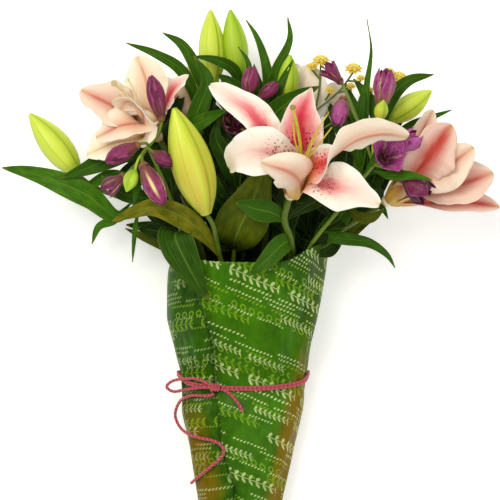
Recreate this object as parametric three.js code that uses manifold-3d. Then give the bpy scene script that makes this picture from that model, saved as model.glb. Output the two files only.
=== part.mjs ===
// A hand-tied mixed bouquet in a film wrap, lying on its back as it would on a table.
// Millimetres, +Z up. While the pieces are laid out, x runs across the bouquet, y from the cut
// stems (-y) to the flowers (+y), and z is the height over the table. The side that a viewer
// admires faces up. The finished group is then moved so that its origin is the middle of its
// footprint on the table.
import * as THREE from "three";
import { mergeVertices } from "three/addons/utils/BufferGeometryUtils.js";
import Module from "manifold-3d";

const wasm = await Module();
wasm.setup();

// ---------- Driving dimensions ----------
const GAP = 0.35; // clearance between neighbouring pieces
const PETAL_T = 1.0; // lily petal
const LEAF_T = 0.8;
const FLORET_T = 0.8; // alstroemeria petal
const FILM_T = 0.8; // wrap
const STRAND_R = 1.25; // one of the tie's two cords
const FINEST = 0.08; // smaller features are smoothed away
const CUT_Y = -335; // cut ends of the stems
const HEM_Y = -310; // lower hem of the wrap
const BIND_Y = -140; // where the stems are bound together
const LILY_STEM_R = 4.2;
const ALSTRO_STEM_R = 2.6;
const SPRAY_STEM_R = 1.6;
const FOLIAGE_STEM_R = 2.2;

const LOOKS = {
  lily: { color: 0xf3c9bf, roughness: 0.5 },
  stamen: { color: 0xd9e08c, roughness: 0.5 },
  bud: { color: 0xc4dc4a, roughness: 0.45 },
  leaf: { color: 0x2f7a24, roughness: 0.45 },
  alstro: { color: 0x8a2a78, roughness: 0.5 },
  spray: { color: 0xe9cf3a, roughness: 0.7 },
  film: { color: 0x3f9a2c, roughness: 0.35 },
  cord: { color: 0xc23a5a, roughness: 0.7 },
};

// ---------- Solids ----------
let swell = 0; // how far every surface stands out, while a piece's clearance is made

const vec = (p) => new THREE.Vector3(...p);
const mix = (a, b, t) => a + (b - a) * t;
const smooth = THREE.MathUtils.smoothstep;

function solidOf(positions, index) {
  const geometry = new THREE.BufferGeometry();
  geometry.setAttribute("position", new THREE.Float32BufferAttribute(positions, 3));
  geometry.setIndex(index);
  const merged = mergeVertices(geometry, 1e-3);
  const mesh = () => ({
    numProp: 3,
    vertProperties: merged.attributes.position.array,
    triVerts: new Uint32Array(merged.index.array),
  });
  const solid = new wasm.Manifold(new wasm.Mesh(mesh()));
  if (solid.volume() > 0) {
    return solid;
  }
  const turned = mesh();
  for (let i = 0; i < turned.triVerts.length; i += 3) {
    turned.triVerts.subarray(i, i + 3).reverse();
  }
  return new wasm.Manifold(new wasm.Mesh(turned));
}

// A closed solid through rings of points, with a fan over each end. The quads of the first
// half of a ring and of the second half are split along opposite diagonals, so that the two
// faces of a thin blade are split alike.
function loft(rings) {
  const n = rings[0].length;
  const positions = rings.flat().flatMap((p) => [p.x, p.y, p.z]);
  const index = [];
  for (let i = 0; i + 1 < rings.length; i++) {
    for (let j = 0; j < n; j++) {
      const a = i * n + j;
      const b = i * n + ((j + 1) % n);
      const quad = j < n / 2 ? [a, b, b + n, a, b + n, a + n] : [a, b, a + n, b, b + n, a + n];
      index.push(...quad);
    }
  }
  for (const end of [0, rings.length - 1]) {
    const middle = new THREE.Vector3();
    rings[end].forEach((p) => middle.addScaledVector(p, 1 / n));
    const centre = positions.length / 3;
    positions.push(middle.x, middle.y, middle.z);
    for (let j = 0; j < n; j++) {
      const pair = [end * n + j, end * n + ((j + 1) % n)];
      index.push(centre, ...(end === 0 ? pair.reverse() : pair));
    }
  }
  return solidOf(positions, index);
}

// Points, directions and sideways directions along a smooth curve. The normal starts from
// `face` halfway and follows the curve both ways without twisting about it. Towards the root
// it turns into `rootFace`, where that is given.
function framesAlong(points, steps, face, rootFace) {
  const curve = new THREE.CatmullRomCurve3(points.map(vec), false, "centripetal");
  const frames = [];
  for (let i = 0; i <= steps; i++) {
    const u = i / steps;
    frames.push({ u, at: curve.getPointAt(u), along: curve.getTangentAt(u) });
  }
  const squared = (normal, along) =>
    normal.clone().addScaledVector(along, -normal.dot(along)).normalize();
  const middle = Math.round(steps / 2);
  frames[middle].normal = squared(face, frames[middle].along);
  for (let i = middle + 1; i <= steps; i++) {
    frames[i].normal = squared(frames[i - 1].normal, frames[i].along);
  }
  for (let i = middle - 1; i >= 0; i--) {
    frames[i].normal = squared(frames[i + 1].normal, frames[i].along);
  }
  if (rootFace) {
    const { along, normal } = frames[0];
    const wanted = squared(rootFace, along);
    const turn = Math.atan2(normal.clone().cross(wanted).dot(along), normal.dot(wanted));
    frames.forEach((f) => f.normal.applyAxisAngle(f.along, turn * (1 - smooth(f.u, 0.1, 0.6))));
  }
  frames.forEach((f) => (f.side = f.along.clone().cross(f.normal)));
  return frames;
}

// A round stem or thread with its own radius at both ends.
function stem(points, r0, r1 = r0, sides = 5) {
  const steps = points.length;
  const rings = framesAlong(points, steps, new THREE.Vector3(0.3, 0.1, 1)).map((f) => {
    const r = mix(r0, r1, f.u) + swell;
    return [...Array(sides).keys()].map((k) => {
      const angle = (2 * Math.PI * k) / sides;
      return f.at
        .clone()
        .addScaledVector(f.side, r * Math.cos(angle))
        .addScaledVector(f.normal, r * Math.sin(angle));
    });
  });
  return loft(rings);
}

// Half-width over full half-width along a blade.
function taper(root, rise, widest, point, fullness) {
  return (u) =>
    u < widest
      ? mix(root, 1, smooth(u, rise, widest))
      : Math.cos(((u - widest) / (1 - widest)) * point) ** fullness;
}
const OUTLINES = {
  petal: taper(0.16, 0.1, 0.58, 1.5, 0.75),
  leaf: taper(0.2, -0.04, 0.45, 1.54, 0.85),
};
const TIP_HALF_WIDTH = 0.7;

// A petal or leaf: a thin waved sheet along a curve. `cup` lifts its edges, `fold` creases it
// along the midrib, and `wave` ruffles the edges.
function blade(look, { steps, across, thick }) {
  const { path, width, face = [0, 0, 1], rootFace, outline = "leaf" } = look;
  const { cup = 0.15, fold = 0.1, wave = 0 } = look;
  const half = width / 2 + swell;
  const grid = framesAlong(path, steps, vec(face), rootFace).map((f) => {
    const w = Math.max(OUTLINES[outline](f.u) * half, TIP_HALF_WIDTH);
    const row = [];
    for (let j = 0; j <= across; j++) {
      const v = (2 * j) / across - 1;
      const ruffle = wave * Math.sin(9 * f.u + (v > 0 ? 1.3 : 0)) * Math.abs(v) ** 3;
      const lift = (cup * v * v + fold * Math.abs(v) + ruffle) * w;
      const p = f.at.clone().addScaledVector(f.side, v * w).addScaledVector(f.normal, lift);
      row.push(aboveTable(p, thick / 2));
    }
    return row;
  });
  const rings = grid.map((row, i) => {
    const normals = row.map((_, j) => {
      const before = grid[Math.max(i - 1, 0)][j];
      const after = grid[Math.min(i + 1, steps)][j];
      const left = row[Math.max(j - 1, 0)];
      const right = row[Math.min(j + 1, across)];
      return after.clone().sub(before).cross(right.clone().sub(left)).normalize();
    });
    const offset = thick / 2 + swell;
    const upper = row.map((p, j) => p.clone().addScaledVector(normals[j], offset));
    const lower = row.map((p, j) => p.clone().addScaledVector(normals[j], -offset));
    return [...upper, ...lower.reverse()];
  });
  return loft(rings);
}

// What would dip below the table lies along it instead.
function aboveTable(p, lowest) {
  const soft = 4;
  if (p.z < lowest + soft) {
    p.z = lowest + soft * Math.exp((p.z - lowest - soft) / soft);
  }
  return p;
}

const PETAL_SIZE = { steps: 5, across: 3, thick: PETAL_T };
const BACK_PETAL_SIZE = { steps: 4, across: 2, thick: PETAL_T };
const NARROW = 15; // a leaf under this width has no crease along it
const FLORET_SIZE = { steps: 3, across: 1, thick: FLORET_T };

// A solid of revolution about base-tip with a ridged section, such as a closed bud.
function spindle(base, tip, radius, profile, { sides = 9, ridges = 3, ridge = 0.05 } = {}) {
  const steps = profile.length - 1;
  const frames = framesAlong([base, tip], steps, new THREE.Vector3(0.2, 0.1, 1));
  const rings = frames.map((f, i) =>
    [...Array(sides).keys()].map((k) => {
      const angle = (2 * Math.PI * k) / sides;
      const r = radius * profile[i] * (1 + ridge * Math.cos(ridges * angle)) + swell;
      return f.at
        .clone()
        .addScaledVector(f.side, r * Math.cos(angle))
        .addScaledVector(f.normal, r * Math.sin(angle));
    }),
  );
  return loft(rings);
}

// ---------- Putting pieces together ----------
const nodes = new Map();

function boxesMeet(a, b) {
  const p = a.boundingBox();
  const q = b.boundingBox();
  return [0, 1, 2].every((k) => p.min[k] < q.max[k] && q.min[k] < p.max[k]);
}

// Adds a solid to a node. Where it would run into a piece of another node that is already
// there, it is cut back to leave GAP.
function add(name, look, make) {
  swell = 0;
  let solid = make();
  for (const [other, node] of nodes) {
    for (const guard of other === name ? [] : node.guards) {
      if (boxesMeet(solid, guard)) {
        solid = solid.subtract(guard);
      }
    }
  }
  swell = GAP;
  const node = nodes.get(name) ?? { look, guards: [], solid: null };
  node.guards.push(make());
  node.solid = node.solid ? node.solid.add(solid) : solid;
  nodes.set(name, node);
}

// The biggest body of a solid, without loose scraps and with sealed hollows filled.
function largest(solid) {
  const bodies = solid.decompose();
  return bodies.reduce((a, b) => (a.volume() >= b.volume() ? a : b));
}

// The same without features that are finer than the solid needs.
const tidied = (solid) => largest(solid.simplify(FINEST));

const shifted = (p, direction, distance) => vec(p).addScaledVector(direction, distance).toArray();

// ---------- Wrap ----------
// The film's section at heights along the bouquet: its left and right edge and how high it
// stands. It lies flat along the table, apart from where the tie goes under it.
const WRAP_SECTIONS = [
  { y: 0, left: -80, right: 79, high: 124 },
  { y: -22, left: -85, right: 77, high: 120 },
  { y: -70, left: -85, right: 70, high: 104 },
  { y: -108, left: -76, right: 62, high: 82 },
  { y: -126, left: -71, right: 59, high: 66 },
  { y: -142, left: -70, right: 57, high: 63 },
  { y: -165, left: -71, right: 55, high: 66 },
  { y: -195, left: -65, right: 47, high: 62 },
  { y: -250, left: -55, right: 35, high: 54 },
  { y: HEM_Y, left: -46, right: 24, high: 46 },
];
const WRAP_SIDES = 26;
const SQUARENESS = 2.5; // exponent of the section's superellipse
const FLAT_CUT = 5; // how much of the section's underside is pressed flat
const TIE_UNDER_Y = -126; // where the tie passes under the bouquet
const TIE_LIFT = 3.9; // and how far it lifts the film there
const TIE_LIFT_REACH = 11;

// How far the mouth reaches at each place: lower at the front, with a peak at its right corner.
function rim(x, front) {
  const facing = -12 + 16 * smooth(x, 30, 74) + 6 * smooth(-x, 40, 80);
  return mix(12, facing, front);
}

// A point of the film: at an angle round the section, at a height, `inset` from the outside.
function filmPoint(angle, section, rimShare, inset) {
  const { left, right, high } = section;
  const halfWidth = (right - left) / 2 - inset;
  const halfHeight = (high + FLAT_CUT) / 2 - inset;
  const curved = (value) => Math.sign(value) * Math.abs(value) ** (2 / SQUARENESS);
  const crease = 1 + 0.018 * Math.cos(7 * angle + 0.03 * section.y);
  const x = (left + right) / 2 + halfWidth * crease * curved(Math.cos(angle));
  const z = (high - FLAT_CUT) / 2 + halfHeight * crease * curved(Math.sin(angle));
  const front = (1 + Math.sin(angle)) / 2;
  const y = section.y + rimShare * rim(x, front);
  const lift = TIE_LIFT * Math.exp(-(((y - TIE_UNDER_Y) / TIE_LIFT_REACH) ** 2));
  return new THREE.Vector3(x, y, Math.max(z, lift + inset));
}

function wrap() {
  const walls = [-swell, FILM_T + swell].map((inset) =>
    WRAP_SECTIONS.map((section, i) =>
      [...Array(WRAP_SIDES).keys()].map((k) => {
        const rimShare = Math.max(0, 1 - i * 0.45);
        return filmPoint((2 * Math.PI * (k + 0.5)) / WRAP_SIDES, section, rimShare, inset);
      }),
    ),
  );
  return closedLoft([...walls[0], ...walls[1].reverse()]);
}

// A ring-shaped solid: a loft whose last ring joins its first.
function closedLoft(rings) {
  const n = rings[0].length;
  const index = [];
  for (let i = 0; i < rings.length; i++) {
    const next = ((i + 1) % rings.length) * n;
    for (let j = 0; j < n; j++) {
      const a = i * n + j;
      const b = i * n + ((j + 1) % n);
      const c = next + ((j + 1) % n);
      const d = next + j;
      index.push(...(i < rings.length / 2 ? [a, b, c, a, c, d] : [a, b, d, b, c, d]));
    }
  }
  const positions = rings.flat().flatMap((p) => [p.x, p.y, p.z]);
  return solidOf(positions, index);
}

add("wrap", LOOKS.film, wrap);

// ---------- Stems ----------
// Where each stem runs through the binding, side by side and one layer on the other.
const FLOOR_Z = 4.9; // inside of the film under the tie
const LILY_Z = FLOOR_Z + LILY_STEM_R;
const LILY_PITCH = 2 * LILY_STEM_R + 0.5;
const LILY_X = [0, 1, 2, 3].map((k) => -15.5 + k * LILY_PITCH);
const ALSTRO_X = LILY_X.slice(0, 3).map((x) => x + LILY_PITCH / 2);
const ALSTRO_Z = LILY_Z + 5.8;

// The lower part of a stem: from its cut end through the binding.
const foot = (x, z, drop = 3) => [
  [x * 1.15, CUT_Y, z - drop],
  [x * 1.08, HEM_Y, z - drop],
  [x, BIND_Y - 15, z],
  [x, BIND_Y + 15, z],
];

const LILY_STEMS = {
  lily_stem_left: {
    main: [
      ...foot(LILY_X[0], LILY_Z), [-28, -60, 27], [-48, -8, 50], [-62, 40, 70], [-80, 88, 86],
      [-90, 110, 94],
    ],
    forks: [
      [[-49, 0, 52], [-78, 26, 58], [-118, 48, 64], [-158, 64, 70], [-178, 79, 73]],
      [[-62, 40, 70], [-58, 85, 62], [-46, 130, 62], [-38, 166, 66]],
    ],
  },
  lily_stem_back: {
    main: [
      ...foot(LILY_X[1], LILY_Z), [4, -60, 17], [14, 0, 30], [18, 60, 42], [20, 90, 48], [30, 110, 52],
    ],
    forks: [
      [[18, 60, 42], [8, 112, 54], [-4, 150, 62], [-11, 173, 68]],
      [[18, 60, 42], [24, 96, 68], [34, 128, 86], [36, 148, 94]],
      [[17, 50, 40], [-6, 82, 40], [-38, 118, 40]],
    ],
  },
  lily_stem_centre: {
    main: [
      ...foot(LILY_X[2], LILY_Z), [10, -88, 34], [32, -36, 76], [42, -6, 98], [40, 12, 110],
      [34, 30, 123], [39, 52, 138],
    ],
    forks: [
      [[10, -88, 34], [-12, -50, 62], [-29, -10, 98], [-33, 8, 116], [-37, 26, 138], [-43, 35, 147]],
    ],
  },
  lily_stem_right: {
    main: [
      ...foot(LILY_X[3], LILY_Z), [26, -70, 24], [48, -20, 44], [62, 2, 56], [84, 16, 68],
      [110, 32, 80], [133, 46, 90],
    ],
    forks: [[[84, 16, 68], [100, 44, 76], [120, 84, 86], [132, 112, 93], [138, 130, 96]]],
  },
};

const ALSTRO_STEMS = {
  alstro_stem_left: [
    ...foot(ALSTRO_X[0], ALSTRO_Z), [-32, -70, 44], [-56, -22, 74], [-66, 10, 98], [-80, 55, 128],
    [-100, 101, 150],
  ],
  alstro_stem_centre: [
    ...foot(ALSTRO_X[1], ALSTRO_Z), [-10, -95, 26], [-18, -50, 42], [-16, 0, 60], [-12, 60, 80],
    [-8, 110, 100], [-6, 140, 112],
  ],
  alstro_stem_right: [
    ...foot(ALSTRO_X[2], ALSTRO_Z), [28, -78, 42], [48, -22, 72], [62, 6, 92], [90, 42, 113],
    [122, 84, 138],
  ],
};

for (const [name, { main, forks }] of Object.entries(LILY_STEMS)) {
  add(name, LOOKS.leaf, () => stem(main, LILY_STEM_R, 3.2, 6));
  for (const fork of forks) {
    add(name, LOOKS.leaf, () => stem(fork, 3.0, 2.4));
  }
}
for (const [name, main] of Object.entries(ALSTRO_STEMS)) {
  add(name, LOOKS.leaf, () => stem(main, ALSTRO_STEM_R, 1.8));
}

// The thin stem of small yellow flowers, and a stem of plain leaves behind the rest.
const SPRAY_X = LILY_X[3] + LILY_STEM_R + SPRAY_STEM_R + 0.5;
const SPRAY_MAIN = [
  ...foot(SPRAY_X, FLOOR_Z + SPRAY_STEM_R, 2.5), [24, -70, 11], [36, 10, 28], [52, 90, 54],
  [66, 140, 78],
];
const SPRAY_HEADS = {
  spray_head_left: [71, 187, 88],
  spray_head_middle: [104, 179, 86],
  spray_head_right: [149, 171, 82],
};
const SPRAY_TWIGS = [
  [[66, 140, 78], [70, 166, 84], SPRAY_HEADS.spray_head_left],
  [[66, 140, 78], [90, 160, 84], SPRAY_HEADS.spray_head_middle],
  [[60, 115, 66], [104, 140, 78], [138, 158, 80], SPRAY_HEADS.spray_head_right],
];
add("spray_stem", LOOKS.leaf, () => stem(SPRAY_MAIN, SPRAY_STEM_R, 1.3));
for (const twig of SPRAY_TWIGS) {
  add("spray_stem", LOOKS.leaf, () => stem(twig, 1.1, 0.9, 3));
}

const FOLIAGE_X = LILY_X[0] - LILY_STEM_R - FOLIAGE_STEM_R - 0.5;
const FOLIAGE_MAIN = [
  ...foot(FOLIAGE_X, FLOOR_Z + FOLIAGE_STEM_R, 2),
  [-14, -60, 8],
  [-6, 0, 13],
  [-2, 60, 18],
  [-4, 120, 22],
];
add("foliage_stem_back", LOOKS.leaf, () => stem(FOLIAGE_MAIN, FOLIAGE_STEM_R, 1.5));

// ---------- Lilies ----------
// A bloom sits on its stem at `base` and opens along `axis`. Each petal's path goes on from
// the throat; `face` is where its inner side looks.
const LILIES = {
  lily_centre: {
    base: [39, 52, 139.5],
    axis: [0.18, 0.5, 0.85],
    size: PETAL_SIZE,
    petals: [
      {
        path: [[38, 96, 178], [24, 109, 191], [0, 142, 197], [-25, 156, 187], [-40, 165, 170]],
        width: 30,
        face: [0.1, 0.2, 1],
      },
      {
        path: [[36, 93, 174], [24, 99, 188], [4, 101, 193], [-14, 95, 184], [-20, 80, 162]],
        width: 42,
        face: [-0.1, 0.1, 1],
      },
      {
        path: [[38, 74, 176], [34, 72, 198], [30, 76, 216], [22, 90, 232]],
        width: 44,
        face: [0, 1, 0.4],
      },
      {
        path: [[56, 74, 174], [68, 70, 192], [96, 62, 200], [128, 44, 186]],
        width: 42,
        face: [0.1, 0.1, 1],
      },
      {
        path: [[60, 86, 176], [68, 90, 190], [84, 110, 202], [114, 126, 198], [156, 110, 172]],
        width: 32,
        face: [-0.2, 0.3, 1],
      },
      {
        path: [[52, 96, 174], [53, 104, 186], [52, 128, 193], [60, 158, 180]],
        width: 46,
        face: [0, 0.1, 1],
      },
    ],
  },
  lily_left: {
    base: [-90.3, 110.6, 94.4],
    axis: [-0.55, 0.6, 0.5],
    size: BACK_PETAL_SIZE,
    petals: [
      { path: [[-98, 142, 112], [-104, 170, 116], [-113, 193, 106]], width: 36, face: [-0.3, 0.2, 1] },
      { path: [[-118, 132, 120], [-142, 146, 126], [-168, 159, 116]], width: 30, face: [0.2, 0.5, 1] },
      {
        path: [[-112, 120, 130], [-134, 117, 138], [-153, 108, 122]],
        width: 40,
        face: [-0.3, 0.9, 0.5],
      },
      {
        path: [[-114, 110, 108], [-140, 107, 110], [-163, 95, 100]],
        width: 32,
        face: [-0.2, 0.8, 0.5],
      },
      {
        path: [[-102, 126, 132], [-108, 138, 148], [-120, 146, 150], [-130, 140, 140]],
        width: 34,
        face: [-0.3, 0.4, 0.9],
      },
      { path: [[-86, 140, 108], [-76, 160, 114], [-62, 175, 106]], width: 22, face: [-0.6, 0.4, 0.6] },
    ],
  },
  lily_right: {
    base: [133.2, 46.2, 90.3],
    axis: [0.78, 0.5, 0.35],
    size: BACK_PETAL_SIZE,
    petals: [
      { path: [[156, 88, 98], [170, 112, 102], [183, 134, 98]], width: 30, face: [0.8, -0.3, 0.3] },
      { path: [[168, 84, 122], [186, 104, 130], [205, 123, 120]], width: 34, face: [0.4, -0.4, 0.8] },
      { path: [[176, 72, 128], [200, 88, 136], [224, 102, 124]], width: 36, face: [0.2, 0.1, 1] },
      { path: [[176, 58, 118], [212, 66, 118], [243, 78, 102]], width: 34, face: [0.2, 0.6, 0.8] },
      { path: [[172, 44, 104], [212, 44, 106], [250, 41, 94]], width: 30, face: [0.1, 0.9, 0.4] },
      { path: [[172, 66, 86], [198, 84, 72], [224, 98, 64]], width: 36, face: [0.3, 0.2, 1] },
    ],
  },
  lily_back_top: {
    base: [30.4, 110.6, 52.2],
    axis: [0.5, 0.8, 0.05],
    size: BACK_PETAL_SIZE,
    petals: [
      { path: [[54, 150, 66], [66, 170, 74], [74, 188, 74]], width: 38, face: [0.3, -0.2, -0.9] },
      { path: [[44, 154, 56], [48, 176, 58], [48, 198, 54]], width: 30, face: [0.8, 0, -0.4] },
      { path: [[64, 144, 52], [86, 156, 50], [104, 164, 42]], width: 34, face: [-0.1, 0.6, -0.8] },
      { path: [[58, 140, 40], [78, 140, 30], [96, 130, 16]], width: 34, face: [0.2, 0.8, 0.2] },
      { path: [[48, 146, 36], [54, 156, 20], [60, 160, 6]], width: 36, face: [0.2, 0.8, 0.5] },
      { path: [[40, 150, 44], [32, 170, 36], [22, 188, 28]], width: 32, face: [0.6, 0.2, 0.6] },
    ],
  },
  lily_back_left: {
    base: [-38.4, 118.4, 40],
    axis: [-0.6, 0.75, -0.1],
    size: BACK_PETAL_SIZE,
    petals: [
      { path: [[-56, 152, 48], [-60, 172, 54], [-58, 189, 54]], width: 30, face: [-0.3, -0.2, -0.9] },
      { path: [[-68, 148, 46], [-84, 162, 46], [-100, 172, 40]], width: 34, face: [0.2, 0.2, -1] },
      { path: [[-66, 138, 34], [-88, 142, 24], [-106, 138, 12]], width: 34, face: [-0.5, 0.7, 0.3] },
      { path: [[-58, 140, 26], [-66, 144, 14], [-80, 136, 4]], width: 32, face: [-0.4, 0.7, 0.5] },
      { path: [[-50, 152, 30], [-46, 166, 18], [-40, 176, 7]], width: 34, face: [-0.4, 0.2, 0.8] },
      { path: [[-50, 154, 42], [-46, 172, 40], [-38, 190, 34]], width: 30, face: [-0.8, 0.2, 0.2] },
    ],
  },
};

const THROAT = 16; // how far up the axis the petals are still together
const BOSS_H = 9; // the green-yellow boss that they grow from
const BOSS_R = 6.2;

function lilyAxis({ axis }) {
  return vec(axis).normalize();
}

function boss(lily) {
  const axis = lilyAxis(lily);
  return stem([shifted(lily.base, axis, GAP), shifted(lily.base, axis, BOSS_H)], 4.6, BOSS_R, 8);
}

// A petal from the boss up the throat and out along its own path.
function lilyPetal(lily, petal) {
  const axis = lilyAxis(lily);
  const out = vec(petal.path[0]).sub(vec(lily.base));
  out.addScaledVector(axis, -out.dot(axis)).normalize();
  const root = shifted(shifted(lily.base, axis, 4), out, 3.4);
  const neck = shifted(shifted(lily.base, axis, THROAT), out, 7.6);
  const path = [root, neck, ...petal.path];
  const rootFace = out.clone().negate();
  const look = { cup: 0.2, fold: 0.06, wave: 0.05, ...petal, path, rootFace, outline: "petal" };
  return blade(look, lily.size);
}

for (const [name, lily] of Object.entries(LILIES)) {
  add(name, LOOKS.lily, () => boss(lily));
  for (const petal of lily.petals) {
    add(name, LOOKS.lily, () => lilyPetal(lily, petal));
  }
}

// Pistil and filaments stand on a small knob on the boss, inside the throat.
const STAMENS = {
  stamens_centre: {
    of: "lily_centre",
    pistil: [[44, 104, 196], [44, 124, 214], [43, 142, 222]],
    filaments: [
      [[44, 98, 194], [45, 112, 208], [45, 122, 222]],
      [[54, 98, 192], [66, 118, 208], [77, 132, 216]],
      [[58, 94, 190], [72, 112, 204], [84, 122, 212]],
      [[52, 86, 192], [54, 90, 210], [56, 98, 226]],
    ],
  },
  stamens_left: {
    of: "lily_left",
    pistil: [[-110, 138, 124], [-124, 156, 138], [-134, 164, 148]],
    filaments: [
      [[-110, 134, 122], [-122, 146, 136], [-128, 152, 148]],
      [[-106, 138, 122], [-114, 156, 134], [-120, 168, 140]],
    ],
  },
  stamens_right: {
    of: "lily_right",
    pistil: [[166, 74, 106], [192, 92, 112], [212, 102, 114]],
    filaments: [
      [[166, 72, 106], [188, 84, 112], [206, 90, 118]],
      [[168, 72, 104], [192, 86, 104], [212, 92, 104]],
    ],
  },
};

for (const [name, { of, pistil, filaments }] of Object.entries(STAMENS)) {
  const lily = LILIES[of];
  const axis = lilyAxis(lily);
  const knob = [shifted(lily.base, axis, BOSS_H + GAP), shifted(lily.base, axis, BOSS_H + 7)];
  const start = shifted(lily.base, axis, BOSS_H + 5);
  add(name, LOOKS.stamen, () => stem(knob, 2.2, 1.8, 5));
  add(name, LOOKS.stamen, () => stem([start, ...pistil], 1.5, 1.8, 4));
  for (const filament of filaments) {
    add(name, LOOKS.stamen, () => stem([start, ...filament], 0.9, 0.9, 3));
  }
}

// ---------- Lily buds ----------
const BUD_PROFILE = [0.26, 0.68, 0.92, 1.0, 0.95, 0.78, 0.5, 0.12];
const BUDS = {
  bud_centre: { base: [-43, 35, 147], tip: [-74, 138, 176], radius: 20.5 },
  bud_left: { base: [-178, 79, 73], tip: [-222, 137, 78], radius: 14.5 },
  bud_top_left: { base: [-38, 166, 66], tip: [-40, 242, 72], radius: 13.5 },
  bud_top_right: { base: [-11, 173, 68], tip: [-20, 242, 76], radius: 12.5 },
  bud_top_small: { base: [36, 148, 94], tip: [40, 195, 100], radius: 10.5 },
  bud_right: { base: [138, 130, 96], tip: [181, 159, 104], radius: 12 },
};
for (const [name, { base, tip, radius }] of Object.entries(BUDS)) {
  const axis = vec(tip).sub(vec(base)).normalize();
  add(name, LOOKS.bud, () => spindle(shifted(base, axis, GAP), tip, radius, BUD_PROFILE));
}

// ---------- Alstroemeria ----------
// A floret is a slim core with petals round it, from its base towards its tip. `open` is how
// far the petals turn outwards.
const CLOSED_PROFILE = [0.3, 0.85, 1, 0.75, 0.15];
const OPEN_PROFILE = [0.3, 0.5, 0.3];
const STILL_CLOSED = 0.25; // a floret that is less open than this is a ridged bud
const UMBELS = {
  alstro_stem_left: {
    at: [-100, 101, 150],
    florets: {
      alstro_left_top: { base: [-86, 126, 158], tip: [-97, 171, 168], radius: 9, open: 0 },
      alstro_left_side: { base: [-108, 104, 158], tip: [-142, 86, 164], radius: 9, open: 0 },
      alstro_left_inner: { base: [-95, 96, 160], tip: [-76, 83, 172], radius: 8, open: 0.2 },
      alstro_left_hanging: { base: [-106, 86, 158], tip: [-84, 44, 174], radius: 11, open: 0 },
      alstro_left_low: { base: [-122, 74, 146], tip: [-146, 56, 140], radius: 9, open: 0.5 },
    },
  },
  alstro_stem_centre: {
    at: [-6, 138, 111],
    florets: {
      alstro_centre_top: { base: [-3, 152, 116], tip: [3, 182, 122], radius: 9, open: 0.2 },
      alstro_centre_right: { base: [8, 150, 112], tip: [28, 166, 118], radius: 7, open: 0.2 },
      alstro_centre_dark: { base: [-14, 122, 116], tip: [-14, 128, 146], radius: 11, open: 0.7 },
    },
  },
  alstro_stem_right: {
    at: [122, 84, 138],
    florets: {
      alstro_right_up: { base: [128, 132, 146], tip: [134, 181, 154], radius: 11, open: 0.3 },
      alstro_right_nod: { base: [93, 152, 138], tip: [85, 122, 146], radius: 9, open: 0.2 },
      alstro_right_back: { base: [92, 166, 110], tip: [72, 186, 118], radius: 8, open: 0.8 },
      alstro_right_front: { base: [130, 88, 150], tip: [139, 96, 178], radius: 12, open: 0.9 },
      alstro_right_upper: { base: [142, 96, 146], tip: [168, 116, 156], radius: 9, open: 0.4 },
      alstro_right_hanging: { base: [148, 74, 150], tip: [178, 50, 158], radius: 13, open: 0.5 },
    },
  },
};

function floretPetals({ base, tip, radius, open }) {
  const axis = vec(tip).sub(vec(base));
  const length = axis.length();
  axis.normalize();
  const side = new THREE.Vector3(0.3, 0.2, 1).cross(axis).normalize();
  return [...Array(5).keys()].map((k) => {
    const out = side.clone().applyAxisAngle(axis, (2 * Math.PI * k) / 5);
    const at = (u, r) => shifted(shifted(base, axis, u * length), out, r * radius);
    const reach = at(0.75, 0.8 + 0.3 * open);
    const path = [at(0.1, 0.3), at(0.4, 0.62), reach, at(1 - 0.2 * open, 0.5 + 1.2 * open)];
    const face = axis.clone().multiplyScalar(open).sub(out).toArray();
    const look = { path, width: radius * 0.95, face, outline: "petal", cup: 0.2, fold: 0 };
    return blade(look, FLORET_SIZE);
  });
}

function addFloret(stemName, umbel, name, floret) {
  const { base, tip, radius, open } = floret;
  const axis = vec(tip).sub(vec(base)).normalize();
  const start = shifted(base, axis, GAP);
  const end = vec(base).lerp(vec(tip), 0.32).toArray();
  const bend = vec(umbel).lerp(vec(base), 0.6).addScaledVector(axis, -4).toArray();
  add(stemName, LOOKS.leaf, () => stem([umbel, bend, base], 1.4, 1.6, 3));
  const sixRidges = { sides: 12, ridges: 6, ridge: 0.14 };
  const closed = () => spindle(start, tip, radius, CLOSED_PROFILE, sixRidges);
  const opened = () => {
    const core = spindle(start, end, radius, OPEN_PROFILE, { sides: 5, ridge: 0 });
    return floretPetals({ ...floret, base: start }).reduce((a, petal) => a.add(petal), core);
  };
  add(name, LOOKS.alstro, open < STILL_CLOSED ? closed : opened);
}

for (const [stemName, { at, florets }] of Object.entries(UMBELS)) {
  for (const [name, floret] of Object.entries(florets)) {
    addFloret(stemName, at, name, floret);
  }
}

// ---------- Small yellow flowers ----------
const SPRAY_RAYS = 6;
const SPRAY_HEAD_R = 7;
const SPRAY_PROFILE = [0.16, 0.62, 1, 0.45, 0.2];
for (const [name, at] of Object.entries(SPRAY_HEADS)) {
  const [x, y, z] = at;
  const star = { sides: 2 * SPRAY_RAYS, ridges: SPRAY_RAYS, ridge: 0.3 };
  const from = [x, y + 0.3, z + 1.2];
  const to = [x, y + 6, z + 6];
  add(name, LOOKS.spray, () => spindle(from, to, SPRAY_HEAD_R, SPRAY_PROFILE, star));
}

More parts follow.
